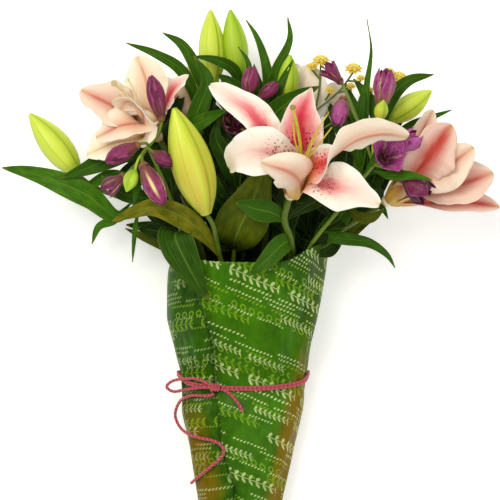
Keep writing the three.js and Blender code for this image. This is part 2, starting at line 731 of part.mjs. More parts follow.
// ---------- Leaves ----------
// Each leaf grows from its node's stem. The first point is inside the stem.
const LEAVES = {
  lily_stem_left: [
    {
      path: [
        [-112, 46, 64], [-135, 34, 76], [-162, 54, 86], [-192, 68, 86], [-222, 78, 80], [-250, 83, 72],
      ],
      width: 24,
    },
    {
      path: [[-88, 104, 90], [-120, 98, 98], [-144, 90, 98], [-168, 80, 94], [-190, 72, 88]],
      width: 20,
    },
    {
      path: [[-106, 44, 63], [-118, 66, 82], [-140, 74, 86], [-160, 66, 80], [-174, 56, 72]],
      width: 14,
    },
    { path: [[-120, 48, 64], [-138, 30, 76], [-152, 24, 74], [-160, 6, 64]], width: 9 },
    { path: [[-112, 46, 64], [-116, 20, 74], [-119, -12, 60]], width: 5 },
    {
      path: [[-49, 120, 62], [-58, 160, 70], [-72, 184, 76], [-96, 198, 78], [-125, 209, 72]],
      width: 12,
    },
    { path: [[-42, 146, 64], [-54, 182, 82], [-68, 206, 84], [-88, 219, 78]], width: 13 },
    {
      path: [[-64, 50, 72], [-62, 100, 100], [-52, 138, 118], [-42, 168, 122], [-56, 193, 112]],
      width: 21,
    },
    { path: [[-58, 88, 62], [-56, 126, 100], [-42, 140, 108], [-24, 148, 104]], width: 20 },
    { path: [[-62, 40, 70], [-84, 70, 66], [-104, 86, 56], [-132, 96, 44]], width: 24 },
    { path: [[-70, 62, 76], [-104, 96, 62], [-130, 132, 54], [-150, 160, 46]], width: 22 },
    { path: [[-52, 0, 52], [-84, 6, 52], [-116, 4, 50], [-140, -6, 44]], width: 16 },
  ],
  lily_stem_back: [
    { path: [[18, 60, 42], [20, 140, 70], [16, 186, 82], [7, 214, 82], [-4, 232, 76]], width: 13 },
    { path: [[20, 90, 48], [22, 150, 74], [27, 180, 84], [40, 212, 88], [38, 234, 82]], width: 13 },
    { path: [[-4, 150, 62], [-18, 182, 90], [-34, 190, 98], [-57, 194, 96]], width: 12 },
    { path: [[6, 118, 56], [-4, 150, 92], [-20, 168, 98], [-34, 176, 98]], width: 19 },
    { path: [[24, 96, 68], [22, 140, 100], [32, 168, 108], [43, 190, 104]], width: 12 },
    { path: [[24, 96, 68], [24, 134, 104], [46, 152, 114], [69, 163, 110]], width: 22 },
    { path: [[8, 112, 54], [0, 160, 92], [-2, 188, 96], [-12, 204, 92]], width: 9 },
    { path: [[14, 0, 30], [50, 40, 28], [84, 76, 22], [112, 112, 12]], width: 26 },
    { path: [[15, 20, 34], [70, 30, 34], [112, 44, 28], [150, 50, 14]], width: 24 },
  ],
  lily_stem_centre: [
    {
      path: [
        [-30, -6, 102], [-48, 18, 128], [-70, 34, 144], [-95, 42, 150], [-118, 36, 148],
        [-136, 28, 142],
      ],
      width: 22,
    },
    { path: [[36, 26, 120], [22, 26, 130], [2, 34, 132], [-14, 45, 128]], width: 16 },
    { path: [[41, -2, 102], [36, 8, 124], [18, -8, 133], [-1, -26, 130]], width: 17 },
    { path: [[34, 30, 123], [56, 26, 126], [82, 20, 116], [104, 34, 104]], width: 16 },
  ],
  lily_stem_right: [
    {
      path: [[50, -16, 45], [72, 12, 78], [97, 11, 86], [120, 7, 82], [138, -5, 72], [147, -18, 60]],
      width: 15,
    },
    { path: [[62, 2, 56], [84, 26, 86], [100, 44, 96], [118, 58, 98]], width: 22 },
    {
      path: [[104, 52, 78], [112, 110, 98], [116, 160, 106], [121, 200, 104], [117, 231, 98]],
      width: 11,
    },
    { path: [[114, 72, 83], [106, 110, 104], [110, 140, 108], [116, 168, 104]], width: 13 },
    { path: [[130, 108, 92], [144, 140, 112], [164, 162, 116], [183, 175, 110]], width: 15 },
    { path: [[126, 98, 90], [160, 124, 84], [184, 134, 82], [203, 141, 80]], width: 9 },
    { path: [[62, 2, 56], [98, 4, 54], [128, 22, 48], [162, 34, 38]], width: 20 },
    { path: [[84, 16, 68], [120, 60, 66], [154, 96, 62], [186, 118, 52]], width: 20 },
  ],
  alstro_stem_left: [
    {
      path: [
        [-60, -8, 86], [-72, 18, 122], [-74, 12, 132], [-62, -14, 134], [-50, -36, 129],
        [-41, -49, 124],
      ],
      width: 34,
    },
    { path: [[-92, 82, 142], [-110, 66, 150], [-114, 44, 146]], width: 8 },
    { path: [[-98, 96, 148], [-118, 76, 158], [-121, 58, 164]], width: 10 },
    { path: [[-76, 42, 120], [-96, 50, 122], [-126, 56, 118], [-148, 74, 110]], width: 16 },
  ],
  alstro_stem_centre: [
    { path: [[-16, 0, 60], [-18, 14, 96], [-6, 48, 112], [10, 84, 108]], width: 42, cup: 0.1 },
    { path: [[-14, 30, 70], [-44, 66, 96], [-58, 92, 98], [-66, 116, 92]], width: 26 },
    { path: [[-12, 60, 80], [-24, 92, 112], [-34, 116, 118], [-30, 140, 116]], width: 20 },
    { path: [[-10, 80, 88], [10, 104, 122], [26, 122, 132], [36, 142, 132]], width: 14 },
  ],
  alstro_stem_right: [
    { path: [[120, 80, 136], [140, 84, 166], [158, 78, 174], [178, 68, 172]], width: 10 },
    { path: [[112, 68, 130], [128, 104, 150], [130, 124, 158], [128, 142, 160]], width: 8 },
    { path: [[98, 42, 112], [112, 34, 124], [132, 34, 124], [144, 40, 118]], width: 12 },
  ],
};
function addLeaf(name, leaf) {
  const across = leaf.width < NARROW ? 1 : 2;
  const size = { steps: leaf.path.length - 1, across, thick: LEAF_T };
  add(name, LOOKS.leaf, () => blade(leaf, size));
}

for (const [name, leaves] of Object.entries(LEAVES)) {
  for (const leaf of leaves) {
    addLeaf(name, leaf);
  }
}

// The leaves behind the bouquet spread over the table from their own stem.
const BACK_LEAVES = 8;
for (let k = 0; k < BACK_LEAVES; k++) {
  const side = k % 2 ? 1 : -1;
  const t = k / (BACK_LEAVES - 1);
  const [x, y, z] = [mix(-6, -4, t), mix(0, 112, t), mix(13, 21, t)];
  const reach = mix(122, 52, t);
  const rise = mix(26, 72, t);
  const path = [
    [x, y, z],
    [x + side * reach * 0.4, y + rise * 0.5, z - 4],
    [x + side * reach * 0.8, y + rise * 0.9, -1],
    [x + side * reach, y + rise, -8],
  ];
  addLeaf("foliage_stem_back", { path, width: 22 });
}

// ---------- Tie ----------
// Two cords side by side round the film, lower at the front than at the back, with a knot and
// a bow loop at the front, and the cord's two ends, one short and one long.
const BAND_SIDES = 8;
const TIE_DIP = 14;
const KNOT = [-36, -139, 66];
const KNOT_R = 4.2;

function sectionAt(y) {
  const i = WRAP_SECTIONS.findIndex((section) => section.y <= y);
  const [above, below] = [WRAP_SECTIONS[i - 1], WRAP_SECTIONS[i]];
  const t = (above.y - y) / (above.y - below.y);
  const blend = (key) => mix(above[key], below[key], t);
  return { y, left: blend("left"), right: blend("right"), high: blend("high") };
}

// The two cords' common outline: as wide as both, with a waist between them.
function bandSection(turn) {
  const r = STRAND_R + swell;
  const away = r * Math.cos(turn) * mix(0.62, 1, Math.abs(Math.sin(turn)));
  return { away, across: (r + STRAND_R) * Math.sin(turn) };
}

function band() {
  const rings = [...Array(WRAP_SIDES).keys()].map((k) => {
    const angle = (2 * Math.PI * (k + 0.5)) / WRAP_SIDES;
    const y = TIE_UNDER_Y - TIE_DIP * Math.max(0, Math.sin(angle)) ** 0.8;
    const on = filmPoint(angle, sectionAt(y), 0, 0);
    const out = filmPoint(angle, sectionAt(y), 0, -1).sub(on).normalize();
    const centre = on.addScaledVector(out, 1.2 * GAP + STRAND_R);
    return [...Array(BAND_SIDES).keys()].map((j) => {
      const { away, across } = bandSection((2 * Math.PI * j) / BAND_SIDES);
      return centre.clone().addScaledVector(out, away).add(new THREE.Vector3(0, across, 0));
    });
  });
  return closedLoft(rings);
}

const TAIL_R = 1.6;
const BOW_LOOP = [
  KNOT,
  [-52, -131, 63],
  [-68, -131, 52],
  [-80, -134, 44],
  [-85, -139.5, 40],
  [-79, -144, 43],
  [-66, -142, 51],
  [-52, -139.5, 61],
  KNOT,
];
const LONG_TAIL = [
  [-36.5, -145.6, 64.8],
  [-42, -147.5, 63],
  [-50, -147.5, 60.8],
  [-58, -147.5, 56],
  [-65, -149.5, 49],
  [-71, -154, 40],
  [-75, -161, 34],
  [-76.5, -169, 32.5],
  [-74, -177, 34],
  [-68, -184, 43],
  [-59, -188.5, 53.5],
  [-49, -191, 58.2],
  [-38, -193, 62],
  [-30, -197, 63.8],
  [-26.5, -204, 63.4],
  [-31, -212, 61.2],
  [-39, -219, 57.6],
  [-47, -226, 52.3],
  [-54, -232, 45.8],
  [-60, -238, 37],
];
const SHORT_TAIL = [
  [-29.4, -140.2, 65.2],
  [-24, -143, 65.4],
  [-18, -148, 66.8],
  [-12, -155, 68.2],
  [-7, -163, 69.2],
];

add("tie_band", LOOKS.cord, band);
add("tie_band", LOOKS.cord, () => {
  const [x, y, z] = KNOT;
  const ends = [[x - 5, y, z], [x + 5, y, z]];
  return spindle(...ends, KNOT_R, [0.4, 0.9, 1, 0.9, 0.4], { sides: 8, ridge: 0 });
});
add("tie_band", LOOKS.cord, () => stem(BOW_LOOP, TAIL_R, TAIL_R));
for (const [name, path] of Object.entries({ tie_tail_long: LONG_TAIL, tie_tail_short: SHORT_TAIL })) {
  add(name, LOOKS.cord, () => stem(path, TAIL_R, TAIL_R, 8));
}

// ---------- Export ----------
const bouquet = new THREE.Group();
for (const [name, { solid, look }] of nodes) {
  const { vertProperties, triVerts } = tidied(solid).getMesh();
  const geometry = new THREE.BufferGeometry();
  geometry.setAttribute("position", new THREE.Float32BufferAttribute(vertProperties, 3));
  geometry.setIndex(new THREE.BufferAttribute(triVerts, 1));
  const mesh = new THREE.Mesh(geometry, new THREE.MeshStandardMaterial(look));
  mesh.name = name;
  bouquet.add(mesh);
}
const footprint = new THREE.Box3().setFromObject(bouquet);
const centre = footprint.getCenter(new THREE.Vector3());
bouquet.position.set(-centre.x, -centre.y, -footprint.min.z);

const part = new THREE.Group();
part.add(bouquet);
export default part;
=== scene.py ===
"""The looks of a hand-tied mixed bouquet lying on its back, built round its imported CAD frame."""
import math
from functools import reduce

import bpy
import numpy as np
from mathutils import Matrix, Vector


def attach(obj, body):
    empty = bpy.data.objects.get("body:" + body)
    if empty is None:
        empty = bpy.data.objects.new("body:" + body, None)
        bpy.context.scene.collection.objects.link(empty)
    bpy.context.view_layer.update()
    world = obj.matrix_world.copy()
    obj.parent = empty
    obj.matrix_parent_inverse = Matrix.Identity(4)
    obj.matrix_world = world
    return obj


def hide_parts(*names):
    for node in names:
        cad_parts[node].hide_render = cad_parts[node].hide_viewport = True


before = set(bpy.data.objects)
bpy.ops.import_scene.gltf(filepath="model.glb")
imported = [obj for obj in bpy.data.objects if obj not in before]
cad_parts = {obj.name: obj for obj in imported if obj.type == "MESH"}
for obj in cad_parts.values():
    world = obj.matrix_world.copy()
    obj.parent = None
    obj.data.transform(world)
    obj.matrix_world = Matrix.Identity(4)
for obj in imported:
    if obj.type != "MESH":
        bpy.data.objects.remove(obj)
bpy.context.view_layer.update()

# The layout is in millimetres over the plan of the photograph: x to the right, y up the picture
# and z towards the camera. SHIFT moves the plan's origin to the frame's.
MM = 0.001
SHIFT = np.array([-0.2137, 46.4613, 0.0]) * MM


# ---------- Camera ----------
def camera(distance=3.0, view_width=0.5, focus_height=0.1):
    """Looks straight down on the bouquet, so that the plan's square fills the picture."""
    data = bpy.data.cameras.new("camera")
    data.sensor_width = 36
    data.lens = data.sensor_width * distance / view_width
    data.clip_end = 20
    ob = bpy.data.objects.new("camera", data)
    ob.location = (SHIFT[0], SHIFT[1], distance + focus_height)
    bpy.context.scene.collection.objects.link(ob)
    bpy.context.scene.camera = ob


camera()
bpy.context.scene.view_settings.view_transform = "Standard"


# ---------- Curves ----------
def unit(v):
    return v / np.maximum(np.linalg.norm(v, axis=-1, keepdims=True), 1e-12)


def smoothstep(x, low, high):
    t = np.clip((np.asarray(x, float) - low) / (high - low), 0, 1)
    return t * t * (3 - 2 * t)


def hump(x, middle, width):
    return np.exp(-(((x - middle) / width) ** 2))


def spline(points, steps):
    """Evenly spaced places and directions on a smooth curve through points, and its length."""
    p = np.array(points, float)
    p = np.vstack([2 * p[0] - p[1], p, 2 * p[-1] - p[-2]])
    t = np.linspace(0, 1, 25)[:-1, None]
    dense = []
    for a, b, c, d in zip(p, p[1:], p[2:], p[3:]):
        da, db, dc = (max(np.linalg.norm(y - x), 1e-6) ** 0.5 for x, y in ((a, b), (b, c), (c, d)))
        start = ((b - a) / da - (c - a) / (da + db) + (c - b) / db) * db
        end = ((c - b) / db - (d - b) / (db + dc) + (d - c) / dc) * db
        square, cube = 3 * (c - b) - 2 * start - end, 2 * (b - c) + start + end
        dense.append(b + start * t + square * t**2 + cube * t**3)
    dense = np.vstack(dense + [p[-2:-1]])
    far = np.concatenate([[0], np.cumsum(np.linalg.norm(np.diff(dense, axis=0), axis=1))])
    where = np.linspace(0, far[-1], steps + 1)
    at = np.stack([np.interp(where, far, dense[:, k]) for k in range(3)], axis=1)
    return at, unit(np.gradient(at, axis=0)), far[-1]


def turned(v, axis, angle):
    """v turned about axis."""
    c, s = np.cos(angle), np.sin(angle)
    return v * c + np.cross(axis, v) * s + axis * np.dot(axis, v) * (1 - c)


def frames(points, steps, face=(0.3, 0.1, 1.0), root_face=None, hold=0.5, roll=None):
    """Places, directions, sides and normals along a curve. The normal is nearest to face at
    the share hold of the way, doesn't twist, and turns to root_face at the root. roll (from,
    to, angle) turns it over between two shares of the way."""
    at, along, length = spline(points, steps)
    normal = np.zeros_like(at)
    middle = min(steps, max(0, round(steps * hold)))
    normal[middle] = unit(np.array(face, float) - along[middle] * np.dot(face, along[middle]))
    for order in (range(middle + 1, steps + 1), range(middle - 1, -1, -1)):
        step = 1 if order.step > 0 else -1
        for i in order:
            n = normal[i - step]
            normal[i] = unit(n - along[i] * np.dot(n, along[i]))
    if root_face is not None:
        wanted = unit(np.array(root_face) - along[0] * np.dot(root_face, along[0]))
        turn = math.atan2(np.dot(np.cross(normal[0], wanted), along[0]), np.dot(normal[0], wanted))
        for i in range(steps + 1):
            share = 1 - smoothstep(i / steps, 0.1, 0.6)
            normal[i] = turned(normal[i], along[i], turn * share)
    if roll is not None:
        for i in range(steps + 1):
            normal[i] = turned(normal[i], along[i], roll[2] * smoothstep(i / steps, *roll[:2]))
    return at, along, np.cross(along, normal), normal, length


def ahead(p, direction, distance):
    return np.array(p, float) + np.array(direction) * distance


def beside(base, axis, rise, out, reach):
    """A point that far up an axis from base, and that far out from it."""
    return ahead(ahead(base, axis, rise), out, reach)


# ---------- Meshes ----------
class Skin:
    """Gathers the faces of one piece. Each point has a place (u along, v across, 0 to 1), the
    same in centimetres, a tint and a side: 0 for the inner or upper face, 1 for the back."""

    def __init__(self):
        self.columns = {"co": [], "place": [], "cm": [], "tint": [], "back": []}
        self.faces = []
        self.count = 0

    def add(self, co, face_lists, place, cm, tint, back=0.0):
        """Adds points, and lists of faces that count from the first of them."""
        n = len(co)
        for key, value, shape in (("co", co, (n, 3)), ("place", place, (n, 2)), ("cm", cm, (n, 2)),
                                  ("tint", tint, (n, 4)), ("back", back, (n,))):
            self.columns[key].append(np.broadcast_to(value, shape))
        for faces in face_lists:
            self.faces.extend((np.asarray(faces) + self.count).tolist())
        self.count += n

    def made(self, name, material):
        data = {key: np.concatenate(value) for key, value in self.columns.items()}
        mesh = bpy.data.meshes.new(name)
        mesh.from_pydata((data["co"] * MM + SHIFT).tolist(), [], self.faces)
        loops = np.zeros(len(mesh.loops), np.int32)
        mesh.loops.foreach_get("vertex_index", loops)
        for key in ("place", "cm"):
            layer = mesh.uv_layers.new(name=key)
            layer.data.foreach_set("uv", data[key][loops].astype(np.float32).ravel())
        for key, kind, field in (("tint", "FLOAT_COLOR", "color"), ("back", "FLOAT", "value")):
            layer = mesh.attributes.new(key, kind, "POINT")
            layer.data.foreach_set(field, data[key].astype(np.float32).ravel())
        mesh.materials.append(material)
        mesh.shade_smooth()
        ob = bpy.data.objects.new(name, mesh)
        bpy.context.scene.collection.objects.link(ob)
        return ob

    def piece(self, name, material, node):
        """The object, as a piece of the bouquet that stands for that CAD node."""
        ob = self.made(name, material)
        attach(ob, "root")
        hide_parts(node)
        return ob


def grid_faces(rows, columns, round_it=False, flip=False):
    """The four-sided faces between a grid's points, which may close round on itself."""
    i = np.arange(rows - 1)[:, None] * columns
    j = np.arange(columns if round_it else columns - 1)[None, :]
    k = (j + 1) % columns
    quads = np.stack([i + j, i + k, i + columns + k, i + columns + j], axis=-1).reshape(-1, 4)
    return quads[:, ::-1] if flip else quads


def above_table(co, lowest):
    """What would dip below the table lies along it instead."""
    soft = 4.0
    z = co[..., 2]
    low = z < lowest + soft
    z[low] = lowest + soft * np.exp((z[low] - lowest - soft) / soft)
    return co


def taper(root, rise, widest, point, fullness):
    """The share of its full width that a blade has at u: from root, up from rise to widest,
    then down to a tip."""

    def width(u):
        tip = np.cos(np.clip((u - widest) / (1 - widest), 0, 1) * point) ** fullness
        return np.where(u < widest, root + (1 - root) * smoothstep(u, rise, widest), tip)

    return width


OUTLINES = {
    "petal": taper(0.2, -0.06, 0.58, 1.5, 0.75),
    "pointed": taper(0.2, -0.06, 0.5, 1.54, 1.05),
    "blunt": taper(0.2, -0.06, 0.62, 1.55, 0.6),
    "leaf": taper(0.2, -0.04, 0.45, 1.54, 0.85),
    "reed": taper(0.5, -0.1, 0.2, 1.54, 1.35),
    "arched": taper(0.2, -0.06, 0.5, 1.5, 0.62),
}


def double(skin, layers, face_lists, place, cm, tint, back=0.0):
    """Adds the two sides of a sheet, which lie on the same grid."""
    skin.add(np.vstack([layer.reshape(-1, 3) for layer in layers]), face_lists,
             np.tile(place.reshape(-1, 2), (2, 1)), np.tile(cm.reshape(-1, 2), (2, 1)), tint, back)


def blade(skin, path, width, tint, face=(0, 0, 1), root_face=None, outline="leaf", hold=0.5,
          cup=0.15, fold=0.1, thick=0.5, steps=22, across=8, relief=None, scallop=None,
          roll=None):
    """A petal or leaf: a thin waved sheet along a curve. relief(u, v, w) moves it along its
    normal, in millimetres. scallop (depth, waves, phase) waves its outline, differently on
    its two sides. Returns the points and normals of its inner face."""
    at, along, side, normal, length = frames(path, steps, face, root_face, hold, roll)
    u = np.linspace(0, 1, steps + 1)[:, None]
    v = np.linspace(-1, 1, across + 1)[None, :]
    w = np.maximum(OUTLINES[outline](u) * width / 2, 0.5)
    if scallop is not None:
        depth, waves, phase = scallop
        turn = 2 * np.pi * waves * u + np.where(v > 0, phase, 2.3 * phase + 1)
        w = w * (1 + depth * np.sin(turn) * smoothstep(u, 0.2, 0.45) * np.abs(v))
    lift = (cup * v**2 + fold * np.abs(v)) * w
    if relief is not None:
        lift = lift + relief(u, v, w)
    mid = at[:, None] + side[:, None] * (v * w)[..., None] + normal[:, None] * lift[..., None]
    mid = above_table(mid, thick)
    n = unit(np.cross(np.gradient(mid, axis=1), np.gradient(mid, axis=0)))
    half = (thick / 2 * (1 - 0.55 * np.abs(v) ** 4) + 0 * u)[..., None]
    upper, lower = mid + n * half, mid - n * half
    place = np.stack([u + 0 * v, (v + 1) / 2 + 0 * u], axis=-1)
    cm = np.stack([u * length / 10 + 0 * v, v * w / 10], axis=-1)
    rows, columns = steps + 1, across + 1
    size = rows * columns
    rim = [*range(columns), *range(2 * columns - 1, size, columns),
           *range(size - 2, size - columns - 1, -1), *range(size - 2 * columns, 0, -columns)]
    edge = [(b, a, a + size, b + size) for a, b in zip(rim, rim[1:] + rim[:1])]
    faces = [grid_faces(rows, columns), grid_faces(rows, columns, flip=True) + size, edge]
    double(skin, (upper, lower), faces, place, cm, tint, np.repeat([0.0, 1.0], size))
    return upper, n

def ring_grid(sides, steps):
    """The shares of the way along, and the angles round, of a solid made of rings."""
    return (np.linspace(0, 1, steps + 1)[:, None],
            np.linspace(0, 2 * np.pi, sides, endpoint=False)[None, :])


def rings(skin, curve, u, angle, radii, girth, tint):
    """A closed solid of rings about a curve. girth is the radius that measures its way round
    in centimetres."""
    at, _, side, normal, length = curve
    co = (at[:, None] + side[:, None] * (radii * np.cos(angle))[..., None]
          + normal[:, None] * (radii * np.sin(angle))[..., None])
    flat = 0 * radii
    place = np.stack([u + flat, angle / (2 * np.pi) + flat], axis=-1).reshape(-1, 2)
    cm = np.stack([u * length / 10 + flat, angle * girth / 10 + flat], axis=-1).reshape(-1, 2)
    steps, sides = radii.shape
    size = steps * sides
    j = np.arange(sides)
    k = (j + 1) % sides
    last = size - sides
    start = np.stack([j, size + 0 * j, k], axis=1)
    end = np.stack([last + k, size + 1 + 0 * j, last + j], axis=1)
    skin.add(np.vstack([co.reshape(-1, 3), at[:1], at[-1:]]),
             [grid_faces(steps, sides, round_it=True, flip=True), start, end],
             np.vstack([place, [[0, 0], [1, 0]]]),
             np.vstack([cm, [[0, 0], [length / 10, 0]]]), tint)


def tube(skin, points, radius, tint, sides, steps, shape=None):
    """A round stem or thread. radius is a number, or a pair from root to tip; shape(u, angle,
    length) is a share of it. Returns its centreline."""
    curve = frames(points, steps)
    u, angle = ring_grid(sides, steps)
    root, tip = radius if np.ndim(radius) else (radius, radius)
    share = 1 if shape is None else shape(u, angle, curve[-1])
    radii = (root + (tip - root) * u) * share + 0 * angle
    rings(skin, curve, u, angle, radii, max(root, tip), tint)
    return curve[0]


def profile(shares, u):
    """A smooth curve through evenly spaced shares."""
    shares = np.array(shares)
    knots = np.linspace(0, 1, len(shares))
    slopes = np.gradient(shares, knots)
    i = np.clip(np.searchsorted(knots, u, side="right") - 1, 0, len(knots) - 2)
    h = knots[i + 1] - knots[i]
    t = (u - knots[i]) / h
    curve = ((1 + 2 * t) * (1 - t) ** 2 * shares[i] + t * (1 - t) ** 2 * h * slopes[i]
             + t**2 * (3 - 2 * t) * shares[i + 1] + t**2 * (t - 1) * h * slopes[i + 1])
    return np.maximum(curve, 0.01)


def spindle(skin, base, tip, shares, radius, tint, sides, steps, relief=None):
    """A closed solid about the line from base to tip. Its radius goes smoothly through evenly
    spaced shares of radius, and relief(u, angle) is a share of that."""
    curve = frames([base, tip], steps, face=(0.2, 0.1, 1))
    u, angle = ring_grid(sides, steps)
    share = 1 if relief is None else relief(u, angle)
    radii = profile(shares, u) * radius * share + 0 * angle
    rings(skin, curve, u, angle, radii, radii, tint)


# ---------- Layout ----------
# The tint that most petals of the two blooms at the back share.
BEHIND = (0.7, 0.5, 0.6, 0)

# Each bloom: base, where it sits on its stem; the axis that it opens along; and its petals.
# Each petal: its width, where its inner side looks, its tint (pink, spots, peach back, and 1
# where the two sides are swapped) and its path on from the throat.
LILIES = {
    "lily_centre": ((39, 52, 139.5), (0.18, 0.5, 0.85), [
        (30, (0.1, 0.2, 1), (0.65, 0.2, 0.3, 0), (38, 94, 170), (22, 108, 182), (-3, 137, 193),
         (-25, 152, 187), (-39, 161, 170)),
        (42, (-0.1, 0.1, 1), (0.3, 0.7, 0.3, 0), (37, 88, 176), (24, 93, 189), (4, 95, 193),
         (-14, 90, 183), (-20, 79, 162)),
        (40, (-0.6, 0.8, -0.3), (0.5, 0.3, 0.4, 0), (48, 64, 170), (47, 68, 191), (37, 76, 211),
         (11, 84, 219)),
        (39, (0.1, 0.1, 1), (0.42, 0.6, 0.3, 0), (58, 70, 168), (72, 63, 182), (98, 58, 191),
         (126, 44, 183)),
        (38, (-0.2, 0.3, 1), (0.8, 0.9, 0.35, 0), (60, 80, 178), (70, 83, 194), (84, 94, 205),
         (104, 107, 204), (130, 113, 193), (154, 110, 174)),
        (46, (0, 0.1, 1), (1.5, 1, 0.3, 0), (47, 96, 170), (48, 105, 182), (50, 130, 190),
         (60, 158, 180)),
    ]),
    "lily_left": ((-90.3, 110.6, 94.4), (-0.55, 0.6, 0.5), [
        (44, (-0.3, 0.2, 1), (0.35, 0.2, 0.2, 1), (-98, 142, 112), (-104, 170, 116),
         (-113, 193, 106)),
        (46, (0.2, 0.5, 1), (0.2, 0.1, 0.6, 1), (-118, 132, 120), (-142, 146, 126),
         (-168, 159, 116)),
        (42, (-0.1, 0.55, 0.85), (0.6, 0.3, 0.45, 1), (-105, 124, 130), (-126, 123, 145),
         (-152, 111, 131)),
        (38, (-0.1, 0.5, 0.85), (0.1, 0.1, 0, 1), (-114, 110, 108), (-138, 106, 111),
         (-163, 95, 100)),
        (54, (-0.3, 0.4, 0.9), (0.2, 0.2, 0.2, 1), (-104, 125, 132), (-108, 138, 148),
         (-120, 146, 150), (-128, 139, 141)),
        (30, (-0.6, 0.4, 0.6), (0.9, 0.6, 0.9, 0), (-86, 140, 108), (-76, 160, 114),
         (-62, 175, 106)),
    ]),
    "lily_right": ((133.2, 46.2, 90.3), (0.78, 0.5, 0.35), [
        (34, (0.5, -0.3, 0.8), (0.8, 0.4, 0.5, 1), (156, 88, 98), (170, 114, 104), (183, 140, 98)),
        (46, (0.2, -0.2, 1), (0.8, 0.4, 1.7, 1), (164, 76, 122), (181, 98, 136), (200, 124, 124)),
        (42, (0.2, 0.1, 1), (0.8, 0.4, 0.5, 1), (172, 70, 114), (197, 84, 126), (222, 102, 120)),
        (46, (0.1, 0.4, 0.9), (0.8, 0.4, 0.8, 1), (174, 58, 106), (210, 66, 112), (243, 77, 100)),
        (38, (0.1, 0.75, 0.65), (0.8, 0.4, 1.4, 1), (172, 46, 100), (212, 48, 104), (250, 43, 93)),
        (36, (0.3, 0.2, 1), (0.8, 0.4, 0.8, 0), (172, 66, 86), (198, 84, 72), (224, 98, 64)),
    ]),
    "lily_back_top": ((30.4, 110.6, 52.2), (0.5, 0.8, 0.05), [
        (52, (0.2, -0.1, -1), (0.12, 0, 0.2, 1), (50, 148, 68), (57, 168, 79), (60, 187, 81)),
        (38, (0.5, 0, -0.7), (0.12, 0, 0.2, 1), (42, 152, 56), (46, 172, 60), (46, 189, 56)),
        (34, (-0.1, 0.6, -0.8), (0.3, 0.1, 0.4, 1), (64, 144, 52), (86, 156, 50), (104, 164, 42)),
        (34, (0.2, 0.8, 0.2), BEHIND, (58, 140, 40), (78, 140, 30), (96, 130, 16)),
        (36, (0.2, 0.8, 0.5), BEHIND, (48, 146, 36), (54, 156, 20), (60, 160, 6)),
        (32, (0.6, 0.2, 0.6), BEHIND, (40, 150, 44), (32, 170, 36), (22, 188, 28)),
    ]),
    "lily_back_left": ((-38.4, 118.4, 40), (-0.6, 0.75, -0.1), [
        (30, (-0.3, -0.2, -0.9), BEHIND, (-56, 152, 48), (-60, 172, 54), (-58, 189, 54)),
        (34, (0.2, 0.2, -1), BEHIND, (-68, 148, 46), (-84, 162, 46), (-100, 172, 40)),
        (34, (-0.5, 0.7, 0.3), BEHIND, (-66, 138, 34), (-88, 142, 24), (-106, 138, 12)),
        (32, (-0.4, 0.7, 0.5), BEHIND, (-58, 140, 26), (-66, 144, 14), (-80, 136, 4)),
        (34, (-0.4, 0.2, 0.8), BEHIND, (-50, 152, 30), (-46, 166, 18), (-40, 176, 7)),
        (30, (-0.8, 0.2, 0.2), BEHIND, (-50, 154, 42), (-46, 172, 40), (-38, 190, 34)),
    ]),
}

